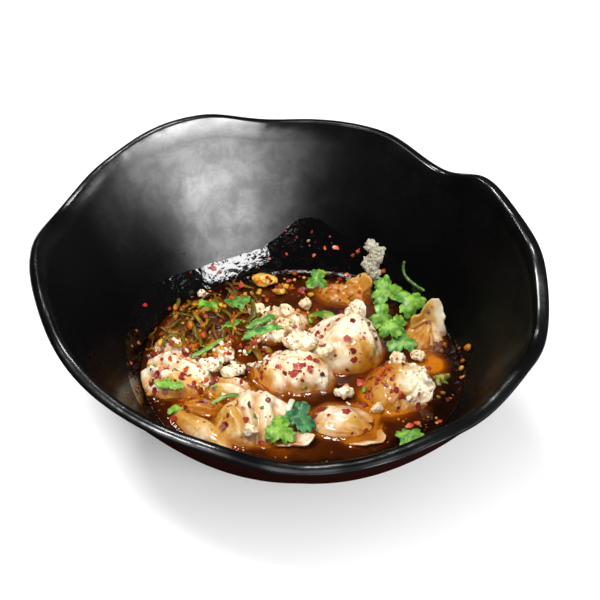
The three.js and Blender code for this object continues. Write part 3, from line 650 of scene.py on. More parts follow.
def make_black_melamine():
    """Black and satin, glossier on the lip, with a wet, mirror-smooth film where the broth ran."""
    n = new_finish("black melamine")
    outside, lip, rim, low, crest = (n.mark(mark) for mark in ("outside", "lip", "rim", "low", "crest"))
    wet = n.ranged(n.plus(n.mark("wet"), n.times(n.noise(0.004, 5.0), 0.6)), 0.22, 0.28)
    dried = n.times(n.ranged(n.noise(0.0035, 6.0, rough=0.6), 0.57, 0.6), wet)
    roughness = n.ranged(n.noise(0.03, 5.0, rough=0.6), 0.35, 0.65, 0.26, 0.34)
    for share, value in ((rim, 0.4), (lip, 0.22), (outside, 0.4), (wet, 0.05), (dried, 0.5)):
        roughness = n.between(share, roughness, value)
    dust = n.specks(0.0003, 0.008, 0.25)["Mask"]
    colour = n.mixed(outside, (0.0018, 0.0018, 0.002), (0.005, 0.0009, 0.0007))
    colour = n.mixed(n.times(dust, 0.12), colour, (0.12, 0.12, 0.115))
    colour = n.mixed(dried, colour, (0.004, 0.001, 0.001))
    gloss = n.ranged(n.noise(0.011, 7.0, rough=0.74, warp=0.4), 0.35, 0.65, 0.28, 0.44)
    gloss = n.plus(gloss, n.times(rim, 0.05))
    patchy = n.times(n.ranged(n.noise(0.03, 2.0), 0.36, 0.62, 0.1, 0.8), crest)
    slanted = n.add("ShaderNodeLayerWeight", {"Blend": 0.5}).outputs["Facing"]
    faced = n.times(n.math("POWER", n.minus(1.0, slanted), 4.0), 0.22)
    for share, value in ((low, 0.04), (lip, patchy), (outside, faced), (wet, 0.38), (dried, 0.02)):
        gloss = n.between(share, gloss, value)
    bumps = n.times(n.noise(0.013, 2.0), n.times(lip, 0.0005))
    runs = n.times(n.minus(n.noise(0.0035, 3.0), 0.5), n.times(wet, 0.00018))
    bump = n.add("ShaderNodeBump", {"Height": n.plus(bumps, runs), "Distance": 1.0, "Strength": 1.0})
    return n.finish(colour, roughness, bump.outputs[0], gloss)


def make_broth_finish():
    """Oily: clear, with a painted amber and orange glow over and beside the dumplings, dark red-brown where
    it is deep, and painted shade near the wall.
    """
    n = new_finish("chilli broth")
    # Painted light: this mark paints the broth amber and orange where it is thin over food and beside the
    # dumplings, and darkest where painted shade lies near the wall.
    glow = n.plus(n.mark("glow"), n.times(n.minus(n.noise(0.009, 4.0), 0.5), 0.7))
    murk = n.group(PATCHES, Size=0.018, Share=0.5, Softness=0.25, Detail=4.0)["Mask"]
    colour = n.layered(glow, n.mixed(murk, BROTH_DEEP, BROTH_BROWN), (0.0, -0.4, BROTH_DARK),
                       (0.1, 0.65, BROTH_AMBER), (0.6, 1.25, BROTH_ORANGE))
    motes = n.specks(0.0005, 0.0036, 0.35)
    tint = n.mixed(motes["Tone"], (0.16, 0.012, 0.002), (0.4, 0.1, 0.006))
    colour = n.mixed(n.times(motes["Mask"], 0.6), colour, tint)
    alpha = n.ranged(n.mark("thin"), 0.3, 1.0, 0.99, 0.68)
    return n.finish(colour, 0.06, n.relief(0.004, 0.00022, 2.0), 0.35, alpha=alpha)


def make_wrapper_finish():
    """Boiled dough: pale and waxy, the filling showing pink-brown through it, stained by the oily broth, with
    painted shade in its creases and under the broth.
    """
    n = new_finish("boiled wrapper")
    filling = n.mixed(n.noise(0.009, 3.0), (0.68, 0.39, 0.16), (0.84, 0.56, 0.3))
    pale = n.mixed(n.noise(0.005, 3.0), (0.93, 0.75, 0.46), (0.97, 0.9, 0.75))
    thin = n.minus(n.noise(0.008, 6.0, rough=0.6, warp=0.8), n.times(n.mark("dough"), 0.22))
    colour = n.layered(thin, pale, (0.46, 0.64, filling))
    oil = n.plus(n.mark("oil"), n.times(n.minus(n.noise(0.006, 4.0), 0.5), 1.2))
    colour = n.mixed(n.times(n.ranged(oil, 0.22, 0.95), 0.9), colour, (0.62, 0.32, 0.03))
    colour = n.layered(oil, colour, (0.95, 1.7, (0.45, 0.17, 0.006)))
    # Painted shade: creases and fold hollows are painted orange-brown.
    colour = n.mixed(n.times(n.mark("crease"), 0.75), colour, (0.56, 0.24, 0.04))
    line = n.group(WATERLINE, Reach=0.005, Depth=0.01)
    colour = n.mixed(n.times(line["Stain"], 0.85), colour, (0.5, 0.17, 0.01))
    # Painted shade: the deeper under the broth, the darker and redder the dough is painted.
    colour = n.mixed(line["Sunk"], colour, (0.2, 0.04, 0.002))
    for size, apart, tint in ((0.0005, 0.0036, CHILLI_RED), (0.0004, 0.0024, (0.5, 0.14, 0.03))):
        colour = n.mixed(n.times(n.specks(size, apart, 0.3)["Mask"], 0.8), colour, tint)
    roughness = n.ranged(n.noise(0.005, 3.0), 0.3, 0.7, 0.2, 0.36)
    return n.finish(colour, roughness, n.relief(0.0032, 0.00032, 2.0), 0.25,
                    under=(0.25, (1.0, 0.5, 0.25), 0.003), coat=(0.9, 0.05))


def make_chilli_finish():
    """Dried chilli: near black to brick red, and a few orange ones."""
    n = new_finish("chilli flake")
    colour = n.layered(n.mark("tone"), (0.1, 0.005, 0.006), (0.0, 0.7, (0.33, 0.017, 0.011)),
                       (0.7, 0.95, (0.62, 0.1, 0.01)))
    colour = n.mixed(n.times(n.ranged(n.noise(0.0012, 2.0), 0.4, 0.7), 0.4), colour, (0.5, 0.06, 0.02))
    return n.finish(colour, 0.35, n.relief(0.0009, 0.00012, 2.0), coat=(0.3, 0.12))


def make_crumb_finish():
    """Moist pale crumbs with fried brown places."""
    n = new_finish("pale crumb")
    colour = n.layered(n.noise(0.003, 4.0), (0.66, 0.43, 0.2), (0.34, 0.55, (0.93, 0.84, 0.62)))
    colour = n.mixed(n.mark("grey"), colour, (0.33, 0.33, 0.27))
    colour = n.mixed(n.mark("soaked"), colour, (0.62, 0.38, 0.14))
    fried = n.group(PATCHES, Size=0.005, Share=0.16, Softness=0.08, Detail=3.0)["Mask"]
    colour = n.mixed(n.times(fried, 0.6), colour, (0.62, 0.32, 0.1))
    colour = n.mixed(n.specks(0.0005, 0.0024, 0.35)["Mask"], colour, CHILLI_RED)
    return n.finish(colour, 0.45, n.relief(0.0014, 0.0002, 4.0), 0.25,
                    under=(0.25, (1.0, 0.6, 0.4), 0.0015), coat=(0.3, 0.1))


def make_leaf_finish():
    """Coriander, fresh green, deep green or olive by its mark, with paler veins."""
    n = new_finish("coriander leaf")
    dark, mottle = n.mark("dark"), n.ranged(n.noise(0.004, 3.0), 0.35, 0.65)
    fresh = n.mixed(mottle, (0.06, 0.21, 0.011), (0.3, 0.54, 0.06))
    deep = n.mixed(mottle, (0.008, 0.08, 0.03), (0.05, 0.27, 0.07))
    olive = n.layered(n.noise(0.0025, 3.0), (0.05, 0.045, 0.003), (0.4, 0.6, (0.3, 0.27, 0.02)))
    colour = n.layered(dark, n.mixed(dark, fresh, deep), (0.0, -1.0, olive))
    colour = n.mixed(n.times(n.mark("vein"), 0.16), colour, (0.45, 0.65, 0.28))
    return n.finish(colour, 0.4, n.relief(0.0024, 0.0004), 0.3,
                    under=(0.12, (0.5, 1.0, 0.2), 0.001), coat=(0.18, 0.15))


def make_stalk_finish():
    """Fresh stalk, with a pale mark for a white one and a dark mark for the stem."""
    n = new_finish("green stalk")
    colour = n.layered(n.noise(0.009, 2.0), (0.04, 0.16, 0.012), (0.3, 0.7, (0.2, 0.36, 0.04)))
    colour = n.mixed(n.times(n.ranged(n.noise(0.0025, 3.0), 0.45, 0.7), 0.5), colour, (0.4, 0.5, 0.16))
    colour = n.mixed(n.mark("pale"), colour, (0.62, 0.7, 0.5))
    colour = n.mixed(n.mark("dark"), colour, (0.012, 0.04, 0.004))
    return n.finish(colour, 0.36, n.relief(0.0015, 0.00015), coat=(0.3, 0.15))


def make_greens_finish():
    """Pickled mustard greens soaked in the broth: brown, olive and yellow by the strip."""
    n = new_finish("pickled greens")
    colour = n.layered(n.mark("tone"), (0.036, 0.01, 0.001), (0.0, 0.3, (0.115, 0.038, 0.002)),
                       (0.25, 0.55, (0.1, 0.085, 0.003)), (0.6, 0.9, (0.32, 0.16, 0.006)))
    colour = n.mixed(n.times(n.ranged(n.noise(0.004, 4.0), 0.4, 0.7), 0.5), colour, (0.14, 0.04, 0.002))
    stain = n.group(WATERLINE, Reach=0.003, Depth=0.01)["Stain"]
    colour = n.mixed(n.times(stain, 0.6), colour, (0.2, 0.06, 0.004))
    return n.finish(colour, 0.36, n.relief(0.002, 0.00025), 0.2, coat=(0.18, 0.08))


def make_radish_finish():
    """Wet and smooth, yellow with paler places."""
    n = new_finish("yellow radish")
    colour = n.mixed(n.noise(0.003, 3.0), (0.62, 0.3, 0.03), (0.85, 0.55, 0.12))
    return n.finish(colour, 0.28, n.relief(0.002, 0.0002), under=(0.2, (1.0, 0.5, 0.15), 0.0015), coat=(0.5,))


def make_bits_finish():
    """Chopped garlic, chilli and radish soaked in oil: brown, red, orange and gold by the bit."""
    n = new_finish("soaked bits")
    colour = n.layered(n.mark("tone"), (0.16, 0.03, 0.002), (0.0, 0.25, (0.42, 0.07, 0.003)),
                       (0.25, 0.55, (0.56, 0.22, 0.007)), (0.6, 0.85, (0.72, 0.42, 0.035)))
    colour = n.mixed(n.times(n.noise(0.0016, 3.0), 0.5), colour, (0.3, 0.07, 0.004))
    return n.finish(colour, 0.3, n.relief(0.0012, 0.0002), 0.3,
                    under=(0.2, (1.0, 0.5, 0.15), 0.0012), coat=(0.2,))


def make_oil_finish():
    """Beads of chilli oil."""
    n = new_finish("chilli oil")
    colour = n.mixed(n.mark("tone"), (0.3, 0.05, 0.004), (0.6, 0.2, 0.01))
    return n.finish(colour, 0.04, gloss=0.8, alpha=0.55)


def make_floor_finish():
    """Almost white and dull."""
    n = new_finish("pale floor")
    return n.finish(n.mixed(n.noise(0.5, 2.0), (0.9, 0.9, 0.9), (0.92, 0.92, 0.92)), 0.9, gloss=0.1)


MELAMINE = make_black_melamine()
BROTH = make_broth_finish()
WRAPPER_DOUGH = make_wrapper_finish()
CHILLI = make_chilli_finish()
CRUMB = make_crumb_finish()
LEAF = make_leaf_finish()
STALK = make_stalk_finish()
GREENS = make_greens_finish()
RADISH = make_radish_finish()
BITS = make_bits_finish()
OIL = make_oil_finish()


# The bowl


def make_bowl():
    """The bowl's one closed skin, from under the foot over the lip to the floor inside."""
    columns = 400
    turn = full_turn(columns)
    wobble = 0.25 * np.sin(9 * turn + 1) + 0.2 * np.sin(14 * turn + 2.2) + 0.12 * np.sin(23 * turn) - 0.57
    rows, marked = [], []

    def row(r, z, wet=-1.0, lip=0.0, outside=0.0, rim=0.0, low=0.0, crest=0.0):
        rows.append(around(turn, r, z))
        values = (wet, lip, outside, rim, low, crest)
        marked.append([np.broadcast_to(value, columns) for value in values])

    for r, z in FOOT:
        row(r, z, outside=1.0)
    for climb in np.linspace(0.12, 0.955, 24):
        r, z, _ = wall_at(turn, climb, -WALL_THICKNESS)
        row(r, z, outside=1.0)
    for over in np.radians(np.linspace(-32, 168, 21)):
        r, z = lip_at(turn, over)
        top = max(0.0, math.sin(over))
        row(r + wobble * 0.5 * top, z + wobble * 0.5 * top, lip=1.0, crest=smoothstep(over, 0.7, 1.3))
    degrees = np.degrees(turn)
    edge = np.interp(degrees, np.r_[WET_EDGE[-1, 0] - 360, WET_EDGE[:, 0], 364],
                     np.r_[WET_EDGE[-1, 1], WET_EDGE[:, 1], WET_EDGE[0, 1]])
    lit = smoothstep(degrees, 70, 92) * smoothstep(degrees, 150, 132)
    for climb in np.linspace(0.96, 0, 64):
        r, z, _ = wall_at(turn, climb, 0)
        low = smoothstep(climb, 0.97, 0.7) * smoothstep(np.cos(np.radians(degrees - 105)), 0.95, 0.8)
        low = np.maximum(low, smoothstep(degrees, 142, 160) * smoothstep(degrees, 250, 215))
        row(r, z, wet=np.clip((edge - climb) / 0.02, -1, 1), rim=lit * smoothstep(climb, 0.84, 0.93), low=low)
    row(20, FLOOR_HEIGHT)
    points, faces = skin((0, 0, FOOT[0][1]), np.array(rows), (0, 0, FLOOR_HEIGHT))
    marked = np.array(marked)
    names = ("wet", "lip", "outside", "rim", "low", "crest")
    marks = {
        mark: np.r_[marked[0, k, 0], marked[:, k].ravel(), marked[-1, k, 0]] for k, mark in enumerate(names)}
    bowl = shown("bowl_shell", in_row_frame(points), faces, MELAMINE, marks)
    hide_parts("bowl")


# The dumplings


def body_points(d, along, turn, finer):
    """Plan points of a dumpling's plump body: along runs from its underside, 0, to its gathered tip, 1."""
    seed = d["seed"]
    a = math.pi * along
    gather = smoothstep(along, 0.45, 0.92)
    sway = 0.035 * np.sin(3 * turn - 2 * seed) * np.sin(2 * a)
    lump = 0.045 * np.sin(2 * turn + seed) * np.sin(a) + sway
    bunched = 0.7 * np.sin(turn + seed) + 0.4 * np.sin(2 * turn - seed) if finer else 0
    valley = 0.5 + 0.5 * np.cos(d["pleats"] * turn + 3 * along + seed + bunched)
    pleat = d["depth"] * gather * valley
    if finer:
        uneven = (0.55 + 0.45 * np.sin(3 * turn + 2 * seed + 2 * along)) * d.get("calm", 1.0)
        pleat = d["depth"] * gather * (0.5 + (valley - 0.5) * uneven)
        pleat = pleat + 0.03 * gather * (valley**4 - 0.3) * uneven
    ring = np.sin(a) * (1 + lump - pleat)
    up = -np.cos(a) * (1 + lump) + d["neck"] * smoothstep(along, 0.8, 1)
    points = np.stack([ring * np.cos(turn), ring * np.sin(turn), up], axis=-1)
    points = points @ turned_onto(d["tip"]).T * np.array(d["size"])
    return points @ about("Z", d.get("yaw", 0)).T + np.array(d["middle"])


def sheet_form(columns, rings, edge_at, lift_at, thickness_at):
    """A thin wavy closed sheet round its own middle."""
    turn = full_turn(columns)[None, :]
    share = (np.arange(rings) + 1)[:, None] / rings
    x, y = share * edge_at(turn) * np.cos(turn), share * edge_at(turn) * np.sin(turn)
    thick = thickness_at(np.broadcast_to(share, x.shape)) / 2
    under = np.stack([x, y, lift_at(x, y) - thick], axis=-1)
    over = np.stack([x, y, lift_at(x, y) + thick], axis=-1)
    middle = float(lift_at(np.zeros(1), np.zeros(1))[0])
    half = float(thickness_at(np.zeros(1))[0]) / 2
    return skin((0, 0, middle - half), np.concatenate([under, over[::-1]]), (0, 0, middle + half))


def frill_form(d):
    """The ruffled fan of loose wrapper, in the plan."""
    frill = d["frill"]
    length, width, seed = frill["length"], frill["width"], d["seed"]

    def edge(turn):
        power = frill.get("point", 2.0)
        ahead, aside = np.abs(np.cos(turn) / length) ** power, np.abs(np.sin(turn) / (width / 2)) ** power
        waves = 1 + 0.13 * np.cos(3 * turn) + 0.07 * np.cos(5 * turn + seed) + 0.03 * np.sin(11 * turn + seed)
        return waves / (ahead + aside) ** (1 / power)

    def lift(x, y):
        out = smoothstep(x, -length, length)
        ruffle = 1.3 * np.sin(7 * y / width + seed) + 0.5 * np.sin(17 * y / width + 2 * seed) * out
        return ruffle * out

    points, faces = sheet_form(64, 12, edge, lift, lambda share: WRAPPER * (1.15 - 0.35 * share**3))
    middle = np.array(d["middle"], float)
    if "towards" in frill:
        towards = np.array(frill["towards"])
        root = middle + towards / np.linalg.norm(towards) * np.array(d["size"])
    else:
        root = body_points(d, np.ones(1), np.zeros(1), False)[0]
    out = (root - middle) / np.linalg.norm(root - middle)
    rolled = turned_onto(out, (1, 0, 0)) @ about("X", frill["roll"])
    return points @ rolled.T + root, faces


def blobs(points, spots):
    """How much of the round soft spots (x, y, radius, strength) lies at plan points."""
    total = np.zeros(len(points))
    for x, y, radius, strength in spots:
        total += strength * np.exp(-((points[:, 0] - x) ** 2 + (points[:, 1] - y) ** 2) / radius**2)
    return total


def pressed(points, creases, seed):
    """How far creases push plan points in, less the banks beside them, and how deep in one each lies."""
    push, inside = np.zeros(len(points)), np.zeros(len(points))
    wander = 1.1 * rough(points, 7, seed)
    for start, end, depth, width in creases:
        away = points[:, :2] - start
        line = np.subtract(end, start)
        length = np.linalg.norm(line)
        along = away @ line / length**2
        side = (away[:, 0] * line[1] - away[:, 1] * line[0]) / length + wander
        fade = smoothstep(along, -0.1, 0.2) * smoothstep(along, 1.1, 0.8)
        groove = np.exp(-((side / width) ** 2)) * fade
        banks = np.exp(-(((np.abs(side) - 2.2 * width) / width) ** 2)) * fade
        push += depth * (groove - 0.4 * banks)
        inside = np.maximum(inside, groove)
    return push, inside


def on_dumpling(points, d):
    """Where plan points lie on a dumpling: along, as body_points has it, and the turn about its tip."""
    local = (points - np.array(d["middle"])) @ about("Z", d.get("yaw", 0)) / np.array(d["size"])
    local = local @ turned_onto(d["tip"])
    up = local[:, 2] / np.maximum(np.linalg.norm(local, axis=1), 1e-6)
    return np.arccos(np.clip(-up, -1, 1)) / math.pi, np.arctan2(local[:, 1], local[:, 0])


def make_dumpling(number, d):
    """A dumpling and its frill as one skin, with folds, creases and torn places worked into it."""
    rows, columns = 72, 120
    along, turn = np.broadcast_arrays((np.arange(1, rows) / rows)[:, None], full_turn(columns)[None, :])
    rings = body_points(d, along, turn, True)
    ends = [body_points(d, np.full(1, end), np.zeros(1), True)[0] for end in (0.0, 1.0)]
    body, faces = skin(ends[0], rings, ends[1])
    points, faces = joined([(body, faces)] + ([frill_form(d)] if "frill" in d else []))
    whole = new_mesh("rough shape", in_row_frame(kept_inside(points, GAP)), faces)
    mesh = modified(
        whole, REMESH=dict(mode="VOXEL", voxel_size=SKIN_STEP), SMOOTH=dict(factor=0.5, iterations=4))
    here = points_of(mesh) / MM - PLAN_SHIFT
    seed = d["seed"]
    tree = KDTree(len(body))
    for i, point in enumerate(body):
        tree.insert(point, i)
    tree.balance()
    off = np.array([tree.find(point)[2] for point in here])
    loose = smoothstep(off, 1.2, 2.4)
    far, spin = on_dumpling(here, d)
    dough = np.maximum(smoothstep(far, 0.6, 0.9), loose) + d.get("pale", 0.0)
    spread = np.stack([2.4 * np.cos(spin), 2.4 * np.sin(spin), 1.6 * far], axis=-1)
    calm = d.get("calm", 1.0)
    near_tip = 0.35 + 1.2 * smoothstep(far, 0.35, 0.8)
    folds = calm * rough(spread, 1, seed, 2) * near_tip * smoothstep(far, 1.0, 0.9)
    swell = 0.9 * rough(here, 9, seed + 3) + 0.25 * (0.4 + 0.6 * calm) * rough(here, 3.2, seed + 9, 2)
    push, inside = pressed(here, CREASES.get(number, []), seed + 5)
    swell += blobs(here, d.get("ragged", [])) * rough(here, 3.0, seed + 12, 3)
    relief = (folds + swell) * (1 - 0.7 * loose) - push * (1 - 0.5 * loose)
    here = here + normals_of(mesh) * relief[:, None]
    set_points(mesh, in_row_frame(kept_inside(here, GAP)))
    # This mark is painted shade in the creases and fold hollows.
    marks = {"dough": dough, "crease": np.clip(inside + smoothstep(-folds, 0.35, 0.9) * 0.5, 0, 1),
             "oil": blobs(here, OIL_STAINS) + d.get("gold", 0.0)}
    piece = shown_mesh(f"dumpling_body_{number}", mesh, WRAPPER_DOUGH, marks)
    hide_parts(f"dumpling_{number}")
    return piece


# Refined CAD pieces


def fitted(points, low, high):
    """The points, stretched to fill the box from low to high."""
    ours_low, ours_high = points.min(axis=0), points.max(axis=0)
    return (points - ours_low) / (ours_high - ours_low) * (high - low) + low


def refined(name, node, finish, lump, size, seed, levels=3, marks=None):
    """The CAD node's own form, rounded and made uneven, in the CAD node's box."""
    source = bmesh.new()
    source.from_mesh(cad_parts[node].data)
    bmesh.ops.remove_doubles(source, verts=source.verts, dist=1e-5)
    mesh = bpy.data.meshes.new(name)
    source.to_mesh(mesh)
    source.free()
    mesh = modified(mesh, SUBSURF=dict(levels=levels, render_levels=levels))
    points = fitted(points_of(mesh), *(np.array(side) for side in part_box(node)))
    set_points(mesh, points)
    bumps = rough(points / MM, size, seed, 3) * lump
    points = points + normals_of(mesh) * bumps[:, None] * MM
    set_points(mesh, points)
    marks = {mark: np.full(len(points), value) for mark, value in (marks or {}).items()}
    piece = shown_mesh(name, mesh, finish, marks)
    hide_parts(node)
    return piece


# Leaves


def make_leaf(number, leaf):
    """A leaflet with three toothed lobes, each bent its own way."""
    reach = leaf["reach"]

    def plain_edge(turn):
        return reach * (0.68 + 0.2 * np.cos(3 * turn) + 0.08 * np.cos(turn) + 0.06 * np.cos(9 * turn))

    chance = np.random.default_rng(number + 500)
    lobes = [dict(at=math.radians(at + chance.uniform(-9, 9)), size=chance.uniform(0.86, 1.04),
                  teeth=[(tooth + chance.uniform(-0.09, 0.09), chance.uniform(0.08, 0.24))
                         for tooth in TEETH_AT],
                  pitch=chance.uniform(-0.28, 0.16), fold=chance.uniform(-0.4, -0.05))
             for at in (0, 120, -120)]

    def edge(turn):
        """Three round lobes with toothed rims and deep notches between them."""
        out = np.full(turn.shape, 0.32)
        for lobe in lobes:
            u = np.angle(np.exp(1j * (turn - lobe["at"]))) / (TAU / 6)
            cut = sum(depth * np.exp(-(((u - where) / 0.11) ** 2)) for where, depth in lobe["teeth"])
            out = np.maximum(out, lobe["size"] * (1 - 0.58 * np.minimum(np.abs(u), 1.2) ** 3) * (1 - cut))
        return reach * out

    def plain_lift(x, y):
        return -0.035 * y**2 + 0.5 * np.sin(4 * x / reach)

    def lift(x, y):
        out = np.hypot(x, y) / reach
        total, weights = 0.0, 1e-9
        for lobe in lobes:
            along = x * np.cos(lobe["at"]) + y * np.sin(lobe["at"])
            across = y * np.cos(lobe["at"]) - x * np.sin(lobe["at"])
            weight = np.exp(5 * along / reach)
            total = total + weight * (lobe["pitch"] * along + lobe["fold"] * np.hypot(across, 0.8))
            weights = weights + weight
        spots = np.stack([x, y, 0 * x], axis=-1).reshape(-1, 3)
        ripple = rough(spots, 4.2, number, 2).reshape(np.shape(x))
        return plain_lift(x, y) + total / weights + 1.5 * ripple * np.minimum(out, 1)

    turned = about("Y", leaf["tilt"][1]) @ about("X", leaf["tilt"][0]) @ about("Z", leaf["turn"])
    flat, faces = sheet_form(150, 12, edge, lift, lambda share: 0.5 - 0.2 * share)
    plain, _ = sheet_form(18, 1, plain_edge, plain_lift, lambda share: 0.8 + 0 * share)
    low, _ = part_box(f"coriander_leaf_{number}")
    rise = low[2] / MM - (plain @ turned.T)[:, 2].min()
    points = flat @ turned.T + np.array([*leaf["at"], rise])
    angle = np.arctan2(flat[:, 1], flat[:, 0])
    far = np.hypot(flat[:, 0], flat[:, 1]) / reach
    main = np.minimum.reduce([np.abs(np.angle(np.exp(1j * (angle - lobe["at"])))) for lobe in lobes])
    vein = np.exp(-((main * far * reach / 0.35) ** 2))
    side = np.exp(-((np.sin(9 * angle / 2) * far * reach / 0.5) ** 2)) * 0.5 * smoothstep(far, 0.15, 0.4)
    marks = {"vein": np.clip(vein + side, 0, 1), "dark": np.full(len(flat), leaf["dark"])}
    piece = shown(f"coriander_{number}", in_row_frame(points), faces, LEAF, marks)
    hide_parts(f"coriander_leaf_{number}")


def make_blade(number, dark):
    """A thin pointed strip of herb leaf along the bent line of its CAD node."""
    node = f"green_shred_{number}"
    low, high = (np.array(side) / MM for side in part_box(node))
    source = fitted(points_of(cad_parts[node].data), low, high)
    middle = source.mean(axis=0)
    _, _, axes = np.linalg.svd(source - middle, full_matrices=False)
    main, side = axes[0], np.cross(UP, axes[0])
    side /= np.linalg.norm(side)
    u, v = (source - middle) @ main, (source - middle) @ side
    bends = [np.polyfit(u, source[:, k], 2) for k in range(3)]
    wide = max(np.percentile(np.abs(v - np.polyval(np.polyfit(u, v, 2), u)), 90), 0.8)
    rows, columns = 44, 14
    t = np.linspace(-1, 1, rows + 2)[1:-1]
    chance = np.random.default_rng(number + 700)
    phase = chance.uniform(0, TAU, 3)
    reach = np.abs(u).max() * 1.05

    def on_line(t):
        return np.stack([np.polyval(bend, t * reach) for bend in bends], axis=-1)

    jagged = 0.14 * np.sin(9 * t + phase[0]) + 0.1 * np.sin(23 * t + phase[1])
    half = wide * (1 - np.abs(t) ** 2.4) ** 0.7 * (1 + jagged)
    spin = full_turn(columns)
    across, over = np.cos(spin)[None, :] * half[:, None], 0.22 * np.sin(spin)[None, :]
    rise = over - 0.22 * np.abs(across) + 0.35 * np.sin(5 * t + phase[1])[:, None] * across / wide
    rise = rise + 0.3 * np.sin(7 * t + phase[2])[:, None]
    rings = on_line(t)[:, None, :] + across[..., None] * side + rise[..., None] * UP
    points, faces = skin(on_line(-1), rings, on_line(1))
    vein = np.r_[0, np.exp(-((across / 0.3) ** 2)).ravel(), 0]
    marks = {"vein": vein, "dark": np.full(len(points), dark)}
    piece = shown(f"herb_strip_{number}", points * MM, faces, LEAF, marks)
    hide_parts(node)


# The broth


def make_broth(ground):
    """The broth up to its level, with a meniscus at the wall and round what stands in it."""
    columns, steps = 360, 120
    turn = full_turn(columns)
    edge = wall_reach(turn, np.full(columns, BROTH_LEVEL), 0.05)
    share = (np.arange(1, steps + 1) / steps)[:, None]
    top = around(turn[None, :], share * edge[None, :], np.full((steps, columns), BROTH_LEVEL))
    flat = top.reshape(-1, 3)
    beside, depth = np.full(len(flat), OUT_OF_SIGHT), np.full(len(flat), OUT_OF_SIGHT)
    for i, point in enumerate(in_row_frame(flat).tolist()):
        start = Vector(point)
        near = ground.find_nearest(start, 0.012)
        if near[0] is not None:
            beside[i] = near[3] / MM
        down = ground.ray_cast(start - DOWN * 0.00002, DOWN, OUT_OF_SIGHT * MM)
        if down[0] is not None:
            depth[i] = down[3] / MM
    rise = np.exp(-beside / 1.1)
    reach = np.hypot(flat[:, 0], flat[:, 1])
    to_wall = edge[np.tile(np.arange(columns), steps)] - reach
    lift = 0.55 * rise + 0.35 * np.exp(-to_wall / 1.4) + 0.12 * rough(flat, 9, 3) + 0.05 * rough(flat, 3.5, 5)
    flat = flat.copy()
    flat[:, 2] += lift
    top = flat.reshape(steps, columns, 3)
    climbs = np.array([0.0, 0.1, 0.2, 0.3, 0.4, 0.5])
    wall_r, wall_z, _ = wall_at(turn[None, :], climbs[:, None], GAP)
    wall = around(turn[None, :], wall_r, wall_z)
    rings = np.concatenate([wall, top[::-1]])
    points, faces = skin((0, 0, FLOOR_HEIGHT + GAP), rings, (0, 0, BROTH_LEVEL))
    bottom = np.full(len(climbs) * columns, OUT_OF_SIGHT)
    deep = np.r_[OUT_OF_SIGHT, bottom, depth.reshape(steps, columns)[::-1].ravel(), depth[0]]
    # Painted shade: the broth is painted darker near the wall, most of all on the right.
    dim = 0.75 * smoothstep(to_wall, 16, 1) * (0.6 + 0.4 * np.cos(np.arctan2(flat[:, 1], flat[:, 0]))) ** 0.5
    # Painted glow just beside what stands in the broth and at the painted glow spots, less the painted shade.
    shade = 0.45 * np.exp(-beside / 2.6) + 0.75 * blobs(flat, GLOWS) - dim
    shade = shade.reshape(steps, columns)[::-1].ravel()
    thin = np.exp(-deep / 5.0)
    # Where the broth is thin over food it gets painted glow as well.
    marks = {"thin": thin, "glow": 0.7 * thin + np.r_[0, np.zeros(len(bottom)), shade, shade[-1]]}
    broth = shown("broth_pool", in_row_frame(points), faces, BROTH, marks)
    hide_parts("broth")
    return broth


# Scattered pieces


# How far from the bowl's middle scattered things may lie, in millimetres.
COVER_REACH = 84


def well_inside(points):
    """Where scattered things may lie: 1 over the food, 0 at the wall."""
    return smoothstep(np.hypot(points[:, 0], points[:, 1]), COVER_REACH, 78)


def seen_from_above(tree, x, y):
    return tree.ray_cast(Vector(in_row_frame((x, y, 70))), DOWN)


def make_cover(pieces):
    """The food as seen from above: one sheet on top of the pieces, which scattered things lie on."""
    line = np.arange(-COVER_REACH, COVER_REACH + 4, 0.7)
    x, y = np.meshgrid(line, line, indexing="ij")
    top = np.full(x.shape, np.nan)
    tree = tree_of([piece.data for piece in pieces])
    for i, j in np.argwhere(np.hypot(x, y) < COVER_REACH):
        hit = seen_from_above(tree, x[i, j], y[i, j])
        if hit[0] is not None:
            top[i, j] = hit[0].z / MM
    corners = np.stack([top[:-1, :-1], top[1:, :-1], top[1:, 1:], top[:-1, 1:]])
    whole = ~np.isnan(corners).any(axis=0) & (np.ptp(corners, axis=0) < 2.4)
    index = np.arange(x.size).reshape(x.shape)
    quads = np.stack([index[:-1, :-1], index[1:, :-1], index[1:, 1:], index[:-1, 1:]], axis=-1)[whole]
    points = np.stack([x, y, np.nan_to_num(top, nan=0.0)], axis=-1).reshape(-1, 3)
    return new_mesh("cover", in_row_frame(points), quads.tolist()), points


def make_wet_wall():
    """The part of the inner wall that the broth wetted, for splashes."""
    turn = np.radians(np.arange(60, 200, 1.5))
    edge = np.interp(np.degrees(turn), WET_EDGE[:, 0], WET_EDGE[:, 1])
    share = np.linspace(0, 1, 14)[:, None]
    waterline = 0.545
    r, z, _ = wall_at(turn[None, :], waterline + (edge[None, :] - waterline) * share, 0.0)
    points = around(turn[None, :], r, z).reshape(-1, 3)
    index = np.arange(len(points)).reshape(-1, len(turn))
    quads = np.stack([index[:-1, 1:], index[:-1, :-1], index[1:, :-1], index[1:, 1:]], axis=-1).reshape(-1, 4)
    return new_mesh("wet wall", in_row_frame(points), quads.tolist()), points


